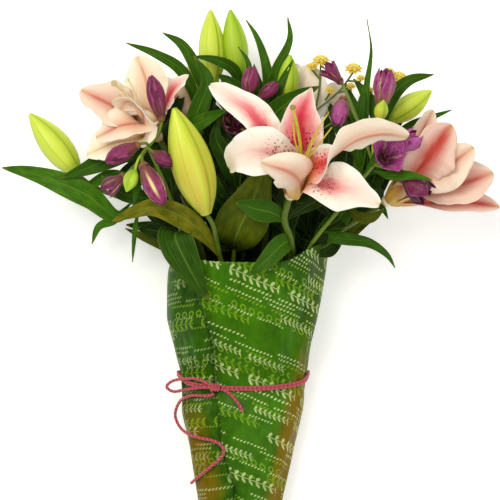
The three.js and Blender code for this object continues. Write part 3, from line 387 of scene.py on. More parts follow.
# Each leaf: its width, how bright it is, where a low value paints leaves deep in the head dark as
# painted shade (and how olive, if it is), and its path.
LEAVES = {
    "lily_stem_left": [
        (24, 0.3, (-112, 46, 64), (-135, 34, 76), (-162, 54, 86), (-192, 68, 86), (-222, 78, 80),
         (-250, 83, 72)),
        (20, 0, (-88, 104, 90), (-120, 98, 98), (-144, 90, 98), (-168, 80, 94), (-190, 72, 88)),
        (14, 0.3, (-106, 44, 63), (-118, 66, 82), (-140, 74, 86), (-160, 66, 80), (-174, 56, 72)),
        (9, 0.3, (-120, 48, 64), (-138, 30, 76), (-152, 24, 74), (-160, 6, 64)),
        (5, 0.3, (-112, 46, 64), (-116, 20, 74), (-119, -12, 60)),
        (12, 0.1, (-49, 120, 62), (-58, 160, 70), (-72, 184, 76), (-96, 198, 78), (-125, 209, 72)),
        (13, 0.1, (-42, 146, 64), (-54, 182, 82), (-68, 206, 84), (-88, 219, 78)),
        (21, 0, (-64, 50, 72), (-62, 100, 100), (-52, 138, 118), (-42, 168, 122), (-56, 193, 112)),
        (19, 0.25, (-58, 88, 62), (-62, 118, 104), (-46, 129, 118), (-22, 140, 114)),
        (24, -0.6, (-62, 40, 70), (-84, 70, 66), (-104, 86, 56), (-132, 96, 44)),
        (22, -0.6, (-70, 62, 76), (-104, 96, 62), (-130, 132, 54), (-150, 160, 46)),
        (12, (-0.2, 0.6), (-52, 0, 52), (-78, 2, 52), (-104, 12, 50), (-127, 22, 46)),
        (22, -0.5, (-80, 88, 86), (-100, 86, 84), (-122, 76, 80), (-140, 64, 72)),
        (22, -0.6, (-52, 0, 54), (-76, 14, 66), (-98, 20, 64), (-114, 22, 58)),
        (16, -0.5, (-58, 85, 62), (-48, 128, 58), (-40, 150, 58), (-32, 172, 56)),
        (24, -0.6, (-62, 40, 70), (-50, 60, 64), (-38, 40, 56), (-32, 4, 50)),
        (22, -0.7, (-56, 20, 60), (-44, 40, 66), (-30, 60, 66), (-20, 90, 60)),
        (20, -0.5, (-58, 60, 66), (-40, 110, 72), (-22, 140, 74), (-12, 160, 68)),
        (24, -0.7, (-62, 40, 70), (-84, 80, 60), (-80, 130, 56), (-66, 164, 50)),
        (22, -0.6, (-56, 60, 66), (-30, 90, 62), (-14, 120, 58), (-8, 146, 52)),
    ],
    "lily_stem_back": [
        (13, 0.2, (18, 60, 42), (20, 140, 70), (16, 186, 82), (7, 214, 82), (-4, 232, 76)),
        (13, 0.2, (20, 90, 48), (22, 150, 74), (27, 180, 84), (40, 212, 88), (38, 234, 82)),
        (12, -0.1, (-4, 150, 62), (-18, 182, 90), (-34, 190, 98), (-57, 194, 96)),
        (19, -0.2, (6, 118, 56), (-4, 150, 92), (-20, 168, 98), (-34, 176, 98)),
        (12, 0, (24, 96, 68), (22, 140, 100), (32, 168, 108), (43, 190, 104)),
        (22, -0.1, (24, 96, 68), (24, 134, 104), (46, 152, 114), (69, 163, 110)),
        (9, 0.2, (8, 112, 54), (0, 160, 92), (-2, 188, 96), (-12, 204, 92)),
        (26, -0.6, (14, 0, 30), (50, 40, 28), (84, 76, 22), (112, 112, 12)),
        (24, -0.6, (15, 20, 34), (70, 30, 34), (112, 44, 28), (150, 50, 14)),
        (26, -0.7, (14, -14, 28), (8, 8, 30), (4, 30, 32), (0, 56, 32)),
        (20, -0.3, (18, 60, 42), (15, 120, 56), (11, 152, 62), (4, 188, 64)),
        (16, -0.4, (18, 60, 42), (-10, 130, 54), (-22, 158, 60), (-30, 178, 62)),
        (22, -0.6, (18, 60, 42), (0, 120, 50), (-24, 150, 56), (-48, 172, 52)),
        (22, -0.6, (20, 90, 48), (40, 130, 50), (62, 150, 54), (88, 162, 48)),
    ],
    "lily_stem_centre": [
        (22, (0, 1), (-30, -6, 102), (-48, 18, 128), (-70, 34, 144), (-95, 42, 150),
         (-118, 36, 148), (-136, 28, 142)),
        (23, -0.05, (36, 28, 120), (24, 36, 128), (4, 41, 132), (-14, 47, 129)),
        (20, 0.0, (41, -2, 102), (36, 8, 124), (18, -8, 133), (-1, -26, 130)),
        (13, -0.7, (34, 30, 123), (54, 42, 119), (80, 56, 110), (104, 62, 100)),
    ],
    "lily_stem_right": [
        (12.5, 0.1, (50, -16, 45), (72, 12, 78), (97, 11, 86), (120, 7, 82), (138, -5, 72),
         (147, -18, 60)),
        (22, -0.1, (62, 2, 56), (84, 26, 86), (100, 44, 96), (118, 58, 98)),
        (11, 0.2, (104, 52, 78), (112, 110, 98), (116, 160, 106), (121, 200, 104), (117, 231, 98)),
        (13, 0, (114, 72, 83), (106, 110, 104), (110, 140, 108), (116, 168, 104)),
        (15, 0, (130, 108, 92), (137, 146, 112), (157, 168, 116), (183, 175, 110)),
        (9, 0.1, (126, 98, 90), (160, 124, 84), (184, 134, 82), (203, 141, 80)),
        (13, (-0.4, 0.5), (62, 2, 56), (94, 12, 54), (118, 30, 48), (139, 42, 40)),
        (20, -0.6, (84, 16, 68), (120, 60, 66), (154, 96, 62), (186, 118, 52)),
        (26, -0.8, (84, 16, 68), (92, 60, 74), (98, 100, 72), (102, 140, 66)),
        (26, -0.7, (62, 2, 56), (74, 50, 62), (80, 96, 60), (78, 140, 56)),
        (24, -0.6, (84, 16, 68), (110, 60, 64), (128, 96, 60), (134, 128, 52)),
        (22, -0.7, (84, 16, 68), (104, 50, 70), (116, 84, 68), (118, 124, 62)),
        (15, 0.0, (118, 82, 86), (113, 112, 95), (104, 142, 93), (96, 168, 84)),
        (18, -0.5, (118, 82, 86), (104, 104, 86), (90, 128, 80), (78, 150, 70)),
        (14, -0.1, (130, 108, 92), (126, 136, 96), (116, 156, 94), (104, 172, 86)),
        (20, -0.6, (110, 32, 80), (124, 70, 84), (134, 104, 78), (146, 134, 68)),
        (22, -0.6, (108, 40, 78), (128, 92, 78), (142, 120, 72), (158, 138, 64)),
        (22, -0.6, (100, 30, 74), (118, 54, 72), (134, 74, 66), (148, 92, 60)),
        (6, -0.1, (128, 45, 88), (133, 41, 104), (138, 31, 102)),
        (24, -0.7, (48, -18, 45), (56, 8, 46), (60, 34, 48), (62, 62, 48)),
    ],
    "alstro_stem_left": [
        (34, -0.3, (-60, -8, 86), (-72, 18, 122), (-74, 12, 132), (-62, -14, 134), (-50, -36, 129),
         (-41, -49, 124)),
        (8, 0.2, (-92, 82, 142), (-110, 66, 150), (-114, 44, 146)),
        (16, -0.2, (-76, 42, 120), (-96, 50, 122), (-126, 56, 118), (-148, 74, 110)),
    ],
    "alstro_stem_centre": [
        (50, (-0.2, 0.5), (-16, 0, 60), (-14, 14, 96), (2, 48, 110), (16, 84, 108)),
        (26, -0.1, (-14, 30, 70), (-44, 66, 96), (-58, 92, 98), (-66, 116, 92)),
        (20, -0.5, (-12, 60, 80), (-24, 92, 108), (-34, 112, 112), (-32, 130, 110)),
        (14, 0.1, (-10, 80, 88), (10, 104, 122), (26, 122, 132), (36, 142, 132)),
    ],
    "alstro_stem_right": [
        (10, 0.2, (122, 78, 138), (138, 73, 154), (158, 73, 168), (178, 68, 172)),
        (8, 0.1, (112, 68, 130), (128, 104, 150), (130, 124, 158), (128, 142, 160)),
        (11, (-0.3, 0.6), (98, 42, 112), (108, 33, 122), (121, 32, 122), (133, 41, 116)),
    ],
}

# Each bud: base, tip, radius and tint (yellow, green, warm).
BUDS = {
    "bud_centre": ((-43, 35, 147), (-74, 138, 176), 20.5, (0.5, 0.05, 0.7, 0)),
    "bud_left": ((-173, 76, 73), (-222, 137, 78), 15, (1.0, 0.25, 0, 0)),
    "bud_top_left": ((-38, 166, 66), (-40, 242, 72), 13.5, (1.3, 0.3, 0, 0)),
    "bud_top_right": ((-11, 173, 68), (-20, 242, 76), 12.5, (0.3, 0.7, 0.1, 0)),
    "bud_top_small": ((36, 148, 94), (40, 195, 100), 10.5, (0.3, 0.6, 0.1, 0)),
    "bud_right": ((138, 130, 96), (181, 159, 104), 12, (0.8, 0.3, 0, 0)),
}

# The florets where an alstroemeria's stem parts. Each: base, tip, radius, how open it is, and
# its tint (pink, yellow streaks, green base).
UMBELS = {
    "alstro_stem_left": ((-100, 101, 150), {
        "alstro_left_top": ((-86, 126, 158), (-97, 171, 168), 9, 0, (0.35, 0, 0.4)),
        "alstro_left_side": ((-108, 104, 158), (-142, 86, 164), 9, 0, (0.3, 0, 0.4)),
        "alstro_left_inner": ((-95, 96, 160), (-76, 83, 172), 8, 0.2, (0.2, 0, 0.5)),
        "alstro_left_hanging": ((-106, 86, 158), (-84, 44, 174), 11, 0, (0.6, 0.9, 0.75)),
        "alstro_left_low": ((-122, 74, 146), (-146, 56, 140), 9, 0.5, (0.3, 0.5, 0.3)),
    }),
    "alstro_stem_centre": ((-6, 138, 111), {
        "alstro_centre_top": ((-3, 152, 116), (3, 182, 122), 9, 0.2, (0.5, 0.2, 0.3)),
        "alstro_centre_right": ((8, 150, 112), (28, 166, 118), 7, 0.2, (0.3, 0.1, 0.3)),
        "alstro_centre_dark": ((-14, 122, 116), (-14, 128, 146), 11, 0.7, (0.1, 0.8, 0.1)),
    }),
    "alstro_stem_right": ((122, 84, 138), {
        "alstro_right_up": ((128, 132, 146), (134, 181, 154), 11, 0.3, (0.7, 0.6, 1.2)),
        "alstro_right_nod": ((93, 152, 138), (85, 122, 146), 9, 0.2, (0.8, 0.1, 0.7)),
        "alstro_right_back": ((92, 166, 110), (72, 186, 118), 8, 0.8, (0.5, 0.3, 0.3)),
        "alstro_right_front": ((130, 88, 150), (139, 96, 178), 13, 0.9, (0.9, 0.25, 0.1)),
        "alstro_right_upper": ((142, 96, 146), (168, 116, 156), 10, 0.4, (0.85, 0.1, 0.1)),
        "alstro_right_hanging": ((148, 74, 150), (178, 50, 158), 13, 0.5, (0.12, 0.1, 0.2)),
    }),
}

# The lily that each set stands in, its pistil and its filaments.
STAMENS = {
    "stamens_centre": ("lily_centre", [(49, 92, 190), (47, 112, 206), (41, 137, 220)], [
        [(47, 90, 190), (43, 108, 206), (41, 124, 218)],
        [(50, 92, 190), (47, 108, 206), (46, 118, 216)],
        [(54, 92, 190), (64, 114, 206), (75, 131, 216)],
        [(56, 88, 190), (68, 104, 204), (78, 117, 213)],
        [(54, 88, 190), (60, 102, 206), (66, 112, 215)],
        [(53, 84, 190), (55, 90, 206), (58, 98, 222)],
    ]),
    "stamens_left": ("lily_left", [(-110, 138, 124), (-124, 156, 138), (-134, 164, 148)], [
        [(-110, 134, 122), (-122, 146, 136), (-128, 152, 148)],
        [(-106, 138, 122), (-114, 156, 134), (-120, 168, 140)],
    ]),
    "stamens_right": ("lily_right", [(166, 74, 106), (192, 92, 112), (212, 102, 114)], [
        [(166, 72, 106), (188, 84, 112), (206, 90, 118)],
        [(168, 72, 104), (192, 86, 104), (212, 92, 104)],
    ]),
}


def foot(x, z, drop=3):
    """The lower part of a stem: from its cut end through the binding."""
    return [(x * 1.15, -335, z - drop), (x * 1.08, -310, z - drop), (x, -155, z), (x, -125, z)]


# Where each stem runs through the binding, side by side and one layer on the other.
LILY_X, LILY_Z = [-15.5 + 8.9 * k for k in range(4)], 9.1
ALSTRO_X, ALSTRO_Z = [x + 4.45 for x in LILY_X[:3]], 14.9

LILY_STEMS = {
    "lily_stem_left": (
        [*foot(LILY_X[0], LILY_Z), (-28, -60, 27), (-48, -8, 50), (-62, 40, 70), (-80, 88, 86),
         (-90, 110, 94)],
        [[(-49, 0, 52), (-78, 26, 58), (-118, 48, 64), (-158, 64, 70), (-178, 79, 73)],
         [(-62, 40, 70), (-58, 85, 62), (-46, 130, 62), (-38, 166, 66)]],
    ),
    "lily_stem_back": (
        [*foot(LILY_X[1], LILY_Z), (4, -60, 17), (14, 0, 30), (18, 60, 42), (20, 90, 48),
         (30, 110, 52)],
        [[(18, 60, 42), (8, 112, 54), (-4, 150, 62), (-11, 173, 68)],
         [(18, 60, 42), (24, 96, 68), (34, 128, 86), (36, 148, 94)],
         [(17, 50, 40), (-6, 82, 40), (-38, 118, 40)]],
    ),
    "lily_stem_centre": (
        [*foot(LILY_X[2], LILY_Z), (10, -88, 34), (32, -36, 76), (42, -6, 98), (40, 12, 110),
         (34, 30, 123), (39, 52, 138)],
        [[(10, -88, 34), (-12, -50, 62), (-29, -10, 98), (-33, 8, 116), (-37, 26, 138),
          (-43, 35, 147)]],
    ),
    "lily_stem_right": (
        [*foot(LILY_X[3], LILY_Z), (26, -70, 24), (48, -20, 44), (62, 2, 56), (84, 16, 68),
         (110, 32, 80), (133, 46, 90)],
        [[(84, 16, 68), (100, 44, 76), (120, 84, 86), (132, 112, 93), (138, 130, 96)]],
    ),
}
ALSTRO_STEMS = {
    "alstro_stem_left": [
        *foot(ALSTRO_X[0], ALSTRO_Z), (-32, -70, 44), (-56, -22, 74), (-66, 10, 98),
        (-80, 55, 128), (-100, 101, 150)],
    "alstro_stem_centre": [
        *foot(ALSTRO_X[1], ALSTRO_Z), (-10, -95, 26), (-18, -50, 42), (-16, 0, 60),
        (-12, 60, 80), (-8, 110, 100), (-6, 140, 112)],
    "alstro_stem_right": [
        *foot(ALSTRO_X[2], ALSTRO_Z), (28, -78, 42), (48, -22, 72), (62, 6, 92), (90, 42, 113),
        (122, 84, 138)],
}
SPRAY_MAIN = [*foot(17.5, 6.5, 2.5), (24, -70, 11), (36, 10, 28), (52, 90, 54), (66, 140, 78)]
SPRAY_HEADS = {
    "spray_head_left": (71, 187, 88),
    "spray_head_middle": (104, 179, 86),
    "spray_head_right": (149, 171, 82),
}
SPRAY_TWIGS = [
    [(66, 140, 78), (70, 166, 84), SPRAY_HEADS["spray_head_left"]],
    [(66, 140, 78), (90, 160, 84), SPRAY_HEADS["spray_head_middle"]],
    [(60, 115, 66), (104, 140, 78), (138, 158, 80), SPRAY_HEADS["spray_head_right"]],
]
FOLIAGE_MAIN = [*foot(-22.4, 7.1, 2), (-14, -60, 8), (-6, 0, 13), (-2, 60, 18), (-4, 120, 22)]

# The wrap's section at heights along the bouquet: its left and right edge and how high it stands.
WRAP_SECTIONS = [
    (0, -80, 79, 124), (-22, -85, 77, 120), (-70, -85, 70, 104), (-108, -76, 62, 82),
    (-126, -71, 59, 66), (-142, -70, 57, 63), (-165, -71, 55, 66), (-195, -65, 47, 62),
    (-250, -55, 35, 54), (-310, -46, 24, 46),
]
KNOT = (-36, -139, 66)
BOW_LOOP = [
    KNOT, (-52, -131, 63), (-68, -131, 52), (-80, -134, 44), (-85, -139.5, 40), (-79, -144, 43),
    (-66, -142, 51), (-52, -139.5, 61), KNOT,
]
LONG_TAIL = [(-36.5, -145.6, 64.8), (-42, -147.5, 63), (-50, -147.5, 60.8), (-58, -147.5, 56),
    (-65, -149.5, 49), (-71, -154, 40), (-75, -161, 34), (-76.5, -169, 32.5), (-74, -177, 34),
    (-68, -184, 43), (-59, -188.5, 53.5), (-49, -191, 58.2), (-38, -193, 62), (-30, -197, 63.8),
    (-26.5, -204, 63.4), (-31, -212, 61.2), (-39, -219, 57.6), (-47, -226, 52.3),
    (-54, -232, 45.8), (-60, -238, 37)]
SHORT_TAIL = [(-29.4, -140.2, 65.2), (-24, -143, 65.4), (-18, -148, 66.8), (-12, -155, 68.2),
    (-7, -163, 69.2)]

# ---------- Materials ----------
def rgb(red, green, blue):
    """A linear colour from the usual 0 to 255."""
    c = np.array([red, green, blue]) / 255
    linear = np.where(c <= 0.04045, c / 12.92, ((c + 0.055) / 1.055) ** 2.4)
    return (*linear.tolist(), 1.0)


def arithmetic(operation):
    """A method that does this operation on a Value."""
    return lambda self, *others: self.math(operation, *others)


class Value:
    """A number or colour in a material's nodes. Arithmetic on it adds nodes."""

    def __init__(self, tree, socket):
        self.tree, self.socket = tree, socket

    def run(self, kind, inputs, output=0, **settings):
        node = self.tree.nodes.new(kind)
        for key, value in settings.items():
            setattr(node, key, value)
        for key, value in inputs.items():
            if isinstance(value, Value):
                self.tree.links.new(value.socket, node.inputs[key])
            else:
                node.inputs[key].default_value = value
        return Value(self.tree, node.outputs[output])

    def math(self, operation, *others):
        return self.run("ShaderNodeMath", dict(enumerate((self, *others))), operation=operation)

    __add__ = __radd__ = arithmetic("ADD")
    __mul__ = __rmul__ = arithmetic("MULTIPLY")
    __sub__, __truediv__ = arithmetic("SUBTRACT"), arithmetic("DIVIDE")
    __abs__ = arithmetic("ABSOLUTE")

    def __rsub__(self, other):
        """other less this."""
        return self.math("MULTIPLY_ADD", -1.0, other)

    def wave(self, waves=1.0):
        """1 at whole numbers of 1/waves, -1 halfway between them."""
        return (self * (2 * math.pi * waves)).math("COSINE")

    def rise(self, low, high):
        """0 below low, 1 above high, and smooth between. The other way round where low > high."""
        inputs = {"Value": self, "From Min": low, "From Max": high}
        return self.run("ShaderNodeMapRange", inputs, interpolation_type="SMOOTHSTEP")

    def mix(self, low, high):
        """low where this is 0 and high where it is 1: colours, as a Value or from 0 to 255."""
        low, high = (c if isinstance(c, Value) else rgb(*c) for c in (low, high))
        return self.run("ShaderNodeMix", {0: self, 6: low, 7: high}, 2, data_type="RGBA")


class Paint:
    """A procedural material and what its pattern is made from."""

    def __init__(self, name, **sockets):
        self.material = bpy.data.materials.new(name)
        self.material.use_nodes = True
        self.tree = self.material.node_tree
        self.shader = self.tree.nodes["Principled BSDF"]
        for key, value in sockets.items():
            self.shader.inputs[key.replace("_", " ")].default_value = value
        self.start = Value(self.tree, None)
        self.u, self.v = self.uv("place")
        self.s, self.t = self.uv("cm")
        tint = self.start.run("ShaderNodeAttribute", {}, attribute_name="tint")
        split = self.start.run("ShaderNodeSeparateColor", {"Color": tint})
        self.red, self.green, self.blue = (
            Value(self.tree, split.socket.node.outputs[k]) for k in range(3))
        self.flip = Value(self.tree, tint.socket.node.outputs["Alpha"])
        self.back = self.start.run("ShaderNodeAttribute", {}, "Fac", attribute_name="back")
        self.colour = None

    def uv(self, name):
        uv = self.start.run("ShaderNodeUVMap", {}, uv_map=name)
        split = self.start.run("ShaderNodeSeparateXYZ", {0: uv})
        return split, Value(self.tree, split.socket.node.outputs[1])

    def at(self, x, y, z=0.0):
        return self.start.run("ShaderNodeCombineXYZ", {0: x, 1: y, 2: z})

    def noise(self, x, y, z=0.0, detail=3.0):
        inputs = {"Vector": self.at(x, y, z), "Scale": 1.0, "Detail": detail}
        return self.start.run("ShaderNodeTexNoise", inputs)

    def dots(self, x, y, size, blur=0.06):
        """1 in round spots, about one in each unit square."""
        inputs = {"Vector": self.at(x, y), "Scale": 1.0, "Randomness": 0.9}
        far = self.start.run("ShaderNodeTexVoronoi", inputs, voronoi_dimensions="2D")
        return far.rise(size + blur, size - blur)

    def random(self, x, y=0.0):
        """A random number for each cell of whole x and y."""
        inputs = {"Vector": self.at(x, y)}
        return self.start.run("ShaderNodeTexWhiteNoise", inputs, noise_dimensions="2D")

    def across(self):
        """0 along the middle and 1 at both edges."""
        return abs(self.v * 2 - 1)

    def coat(self, share, colour):
        """Lays a share of a colour over what is painted so far."""
        self.colour = share.mix(self.colour, colour)

    def done(self, height=None, bump=0.3, roughness=None):
        self.tree.links.new(self.colour.socket, self.shader.inputs["Base Color"])
        if roughness is not None:
            self.tree.links.new(roughness.socket, self.shader.inputs["Roughness"])
        if height is not None:
            inputs = {"Height": height, "Strength": bump, "Distance": 0.001}
            normal = self.start.run("ShaderNodeBump", inputs)
            self.tree.links.new(normal.socket, self.shader.inputs["Normal"])
        return self.material


def petal_paint():
    """Tint: how pink, how spotted, how peach the back is. Alpha 1 swaps the two sides. A
    negative pink is for the raised dark points."""
    p = Paint("lily_petal", Roughness=0.5, Subsurface_Weight=0.1, Subsurface_Scale=0.003,
              Specular_IOR_Level=0.25)
    across = p.across()
    streaks = p.noise(p.s * 0.7, p.t * 9)
    fine = p.noise(p.s * 2.5, p.t * 40)
    soft = p.noise(p.s * 0.8, p.t * 1.1, 3.0)
    worn = across + (streaks - 0.5) * 0.4 + (soft - 0.5) * 0.5
    wide = 0.3 + p.red * 0.6
    core = (worn / wide).rise(1.15, 0.15) * p.u.rise(0.05, 0.28)
    core = core * p.u.rise(0.74 + p.red * 0.3, 0.46 + p.red * 0.2)
    inner = worn.rise(1.1, 0.4).mix((255, 252, 240), (250, 232, 216))
    inner = (core * p.red.rise(0.0, 0.6)).mix(inner, (232, 106, 116))
    deep = worn.rise(0.42, 0.0) * p.u.rise(0.1, 0.28)
    deep = deep * p.u.rise(0.6 + p.red * 0.3, 0.3 + p.red * 0.2) * p.red
    inner = (deep * (0.6 + streaks * 0.6)).mix(inner, (204, 30, 58))
    spots = p.dots(p.s * 2.1, p.t * 2.2, 0.2) * across.rise(0.82, 0.5) * p.u.rise(0.14, 0.2)
    spots = spots * p.u.rise(0.5 + p.green * 0.2, 0.36 + p.green * 0.16) * p.green
    inner = spots.mix(inner, (112, 12, 32))
    inner = (p.u.rise(0.46, 0.26) * p.green.rise(0.1, 0.5) * 0.75).mix(inner, (232, 104, 40))
    edge = (worn * 0.7 + p.u * 0.3).rise(0.1, 0.75)
    pale = edge.mix((242, 214, 174), (255, 246, 220))
    peach = edge.mix((208, 140, 120), (240, 202, 184))
    outer = p.blue.mix(pale, peach)
    blush = worn.rise(0.75, 0.1) * (streaks * 0.6 + soft * 0.7).rise(0.35, 0.9)
    outer = (p.blue * 0.8 * blush).mix(outer, (206, 96, 86))
    rib = across.rise(0.1 + p.blue * p.u.rise(0.35, 0.8) * 0.17, 0.0) * p.u.rise(1.0, 0.8)
    outer = (rib * p.u.rise(0.1, 0.4) * (0.4 + p.blue * 0.4)).mix(outer, (190, 62, 48))
    side = p.back + p.flip - p.back * p.flip * (2 - p.u.rise(0.44, 0.3))
    p.colour = side.mix(inner, outer)
    foot = p.u.rise(0.36, 0.13) * (0.95 - streaks * 0.3)
    p.coat(foot, streaks.rise(0.4, 0.6).mix((228, 156, 48), (184, 174, 42)))
    tip = p.u.rise(0.92, 1.0) * across.rise(0.7, 0.2)
    p.coat(tip * 0.4, (206, 196, 84))
    p.coat(fine.rise(0.4, 0.75) * 0.1, (214, 170, 140))
    p.coat(p.red.rise(-0.2, -0.8), (120, 14, 34))
    return p.done(fine * 0.4 + streaks * 0.6, 0.35)


def leaf_paint():
    """Tint: how bright, where a low value is painted shade for leaves deep in the head, and how
    olive.
    """
    p = Paint("leaf_blade", Roughness=0.4, Subsurface_Weight=0.04, Subsurface_Scale=0.002,
              Specular_IOR_Level=0.1)
    across = p.across()
    streaks = p.noise(p.s * 0.5, p.t * 12)
    patches = p.noise(p.s * 0.9, p.t * 1.6, 5.0)
    tone = p.red + (streaks - 0.5) * 0.45 + (patches - 0.5) * 0.35
    # Dark green where the brightness is low: painted shade on leaves deep in the head, varied by
    # real streaks and patches.
    dark = tone.rise(0.0, 0.6).mix((16, 34, 1), (48, 90, 5))
    p.colour = tone.rise(0.5, 1.05).mix(dark, (96, 162, 24))
    olive = (patches + streaks * 0.5).rise(0.4, 1.1).mix((74, 84, 6), (134, 122, 14))
    p.coat(p.green * 0.85, olive)
    veins = (p.v * 9 + (streaks - 0.5) * 0.35).wave().rise(0.8, 1.0)
    p.coat(veins * 0.16, (120, 158, 52))
    rib = across.rise(0.07, 0.01) * p.u.rise(1.0, 0.7)
    p.coat(rib * 0.4, (128, 166, 60))
    p.coat(across.rise(0.92, 1.0) * 0.25, (140, 160, 60))
    p.coat(p.u.rise(0.94, 1.0) * 0.55, (140, 122, 44))
    p.coat(p.back * 0.4, (104, 132, 60))
    return p.done(streaks * 0.5 - veins * 0.6 - rib, 0.5, 0.4 + streaks * 0.16)


def stalk_paint():
    """Tint: how bright, how brown."""
    p = Paint("stalk", Roughness=0.42)
    streaks = p.noise(p.s * 0.6, p.t * 14)
    rings = p.noise(p.s * 1.3, 0.0, 2.0)
    tone = p.red + (streaks - 0.5) * 0.4 + (rings - 0.5) * 0.25
    p.colour = tone.rise(0.0, 1.0).mix((24, 44, 4), (128, 158, 34))
    p.coat(p.green * 0.7, (122, 78, 40))
    cut = p.u.rise(0.0035, 0.0005)
    p.coat(cut * 0.85, (206, 208, 150))
    return p.done(streaks + rings * 0.5, 0.4)


def bud_paint():
    """Tint: how yellow, how green, how warm."""
    p = Paint("bud_skin", Roughness=0.42, Subsurface_Weight=0.1, Subsurface_Scale=0.004,
              Specular_IOR_Level=0.35)
    streaks = p.noise(p.u * 1.5, p.v * 60)
    keel = p.v.wave(3)
    grain = p.noise(p.u * 5, p.v * 14, 4.0)
    tone = keel * 0.25 + (streaks - 0.5) * 0.5 + (grain - 0.5) * 0.3 + p.red * 0.5
    p.colour = tone.rise(-0.3, 0.7).mix((182, 198, 24), (224, 236, 84))
    green = (p.green * 0.8 + p.u.rise(0.25, 0.0) * 0.4) * (1 - tone * 0.3)
    p.coat(green, (128, 190, 16))
    warm = p.blue * (grain * 0.5 + streaks * 0.4 + abs(keel) * 0.5).rise(0.3, 1.0)
    warm = warm * p.u.rise(1.0, 0.3)
    p.coat(warm * 0.75, (206, 150, 70))
    groove = keel.rise(-0.85, -0.995)
    p.coat(groove * 0.6, (150, 178, 26))
    rib = keel.rise(0.985, 1.0) * p.u.rise(1.0, 0.8)
    p.coat(rib * 0.4, (150, 186, 40))
    return p.done(streaks * 0.8 + grain * 0.4 - groove, 0.35)


def alstro_paint():
    """Tint: how pink, how yellow, how green at the base. Alpha 1 for flecked inner petals."""
    p = Paint("alstroemeria_petal", Roughness=0.48, Subsurface_Weight=0.06,
              Subsurface_Scale=0.002, Specular_IOR_Level=0.35)
    across = p.across()
    streaks = p.noise(p.s * 1.2, p.t * 22)
    soft = p.noise(p.s * 2.2, p.t * 2.4, 7.0)
    tone = p.red + (streaks - 0.5) * 0.6 + (soft - 0.5) * 0.7
    p.colour = tone.rise(-0.1, 0.55).mix((62, 12, 28), (136, 30, 86))
    p.coat(tone.rise(0.45, 1.2), (196, 96, 176))
    p.coat(across.rise(0.7, 1.0) * 0.35, (204, 130, 182))
    yellow = p.green * across.rise(0.3, 0.08) * p.u.rise(0.12, 0.4) * p.u.rise(0.95, 0.6)
    # Darker inner face towards the base: painted shade in the throat.
    p.coat(p.u.rise(0.55, 0.3) * (1 - p.back) * 0.7, (58, 10, 36))
    p.coat(yellow, (236, 226, 140))
    flecks = p.dots(p.s * 2.2, p.t * 9, 0.26) * p.flip * p.u.rise(0.9, 0.75)
    p.coat(flecks * 0.9, (62, 8, 26))
    p.coat(p.blue * p.u.rise(0.6, 0.1) * (0.5 + streaks * 0.6), (136, 98, 56))
    p.coat(p.blue * p.u.rise(0.93, 1.0) * 0.6, (64, 62, 24))
    return p.done(streaks + soft * 0.5, 0.4)


def spray_paint():
    """Tint: how bright, how green."""
    p = Paint("yellow_floret", Roughness=0.6)
    grain = p.noise(p.s * 9, p.t * 9)
    p.colour = (grain * 0.9 + p.red * 0.4).rise(0.2, 1.0).mix((222, 176, 30), (252, 236, 110))
    p.coat(p.green * 0.8, (150, 160, 50))
    return p.done(grain, 0.5)


def stamen_paint():
    """Tint: how pale, how brown."""
    p = Paint("filament", Roughness=0.42, Subsurface_Weight=0.1, Subsurface_Scale=0.002)
    grain = p.noise(p.s * 2, p.t * 20)
    p.colour = (grain * 0.8 + p.u * 0.4).rise(0.1, 1.0).mix((176, 164, 20), (220, 208, 70))
    p.coat(p.red * 0.75, (246, 226, 186))
    p.coat(p.green * (0.85 - p.red * 0.4), (138, 132, 52))
    return p.done(grain, 0.3)


# The film's printed rows: motif, how far up the pattern it sits, its size, the width of its
# stretches and the share of them that are printed.
WHITE_PRINT = [
    ("sprig", 0.0, 1.25, 6.2, 0.75), ("sprig", 2.75, 0.85, 4.7, 0.6),
    ("grain", 0.95, 1.15, 5.1, 0.8), ("grain", 1.4, 1.0, 4.1, 0.6),
    ("grain", 1.85, 1.0, 4.4, 0.7), ("grain", 3.6, 0.9, 3.1, 0.6),
]
LIME_PRINT = [
    ("ring", 3.2, 1.25, 6.4, 0.7), ("sprig", 4.2, 1.15, 5.7, 0.6),
    ("grain", 2.3, 1.1, 3.7, 0.7), ("grain", 4.75, 0.9, 3.3, 0.6),
]
PRINT_PITCH = 5.1
MOTIF_STEPS = {"sprig": 0.58, "grain": 0.36, "ring": 0.72}


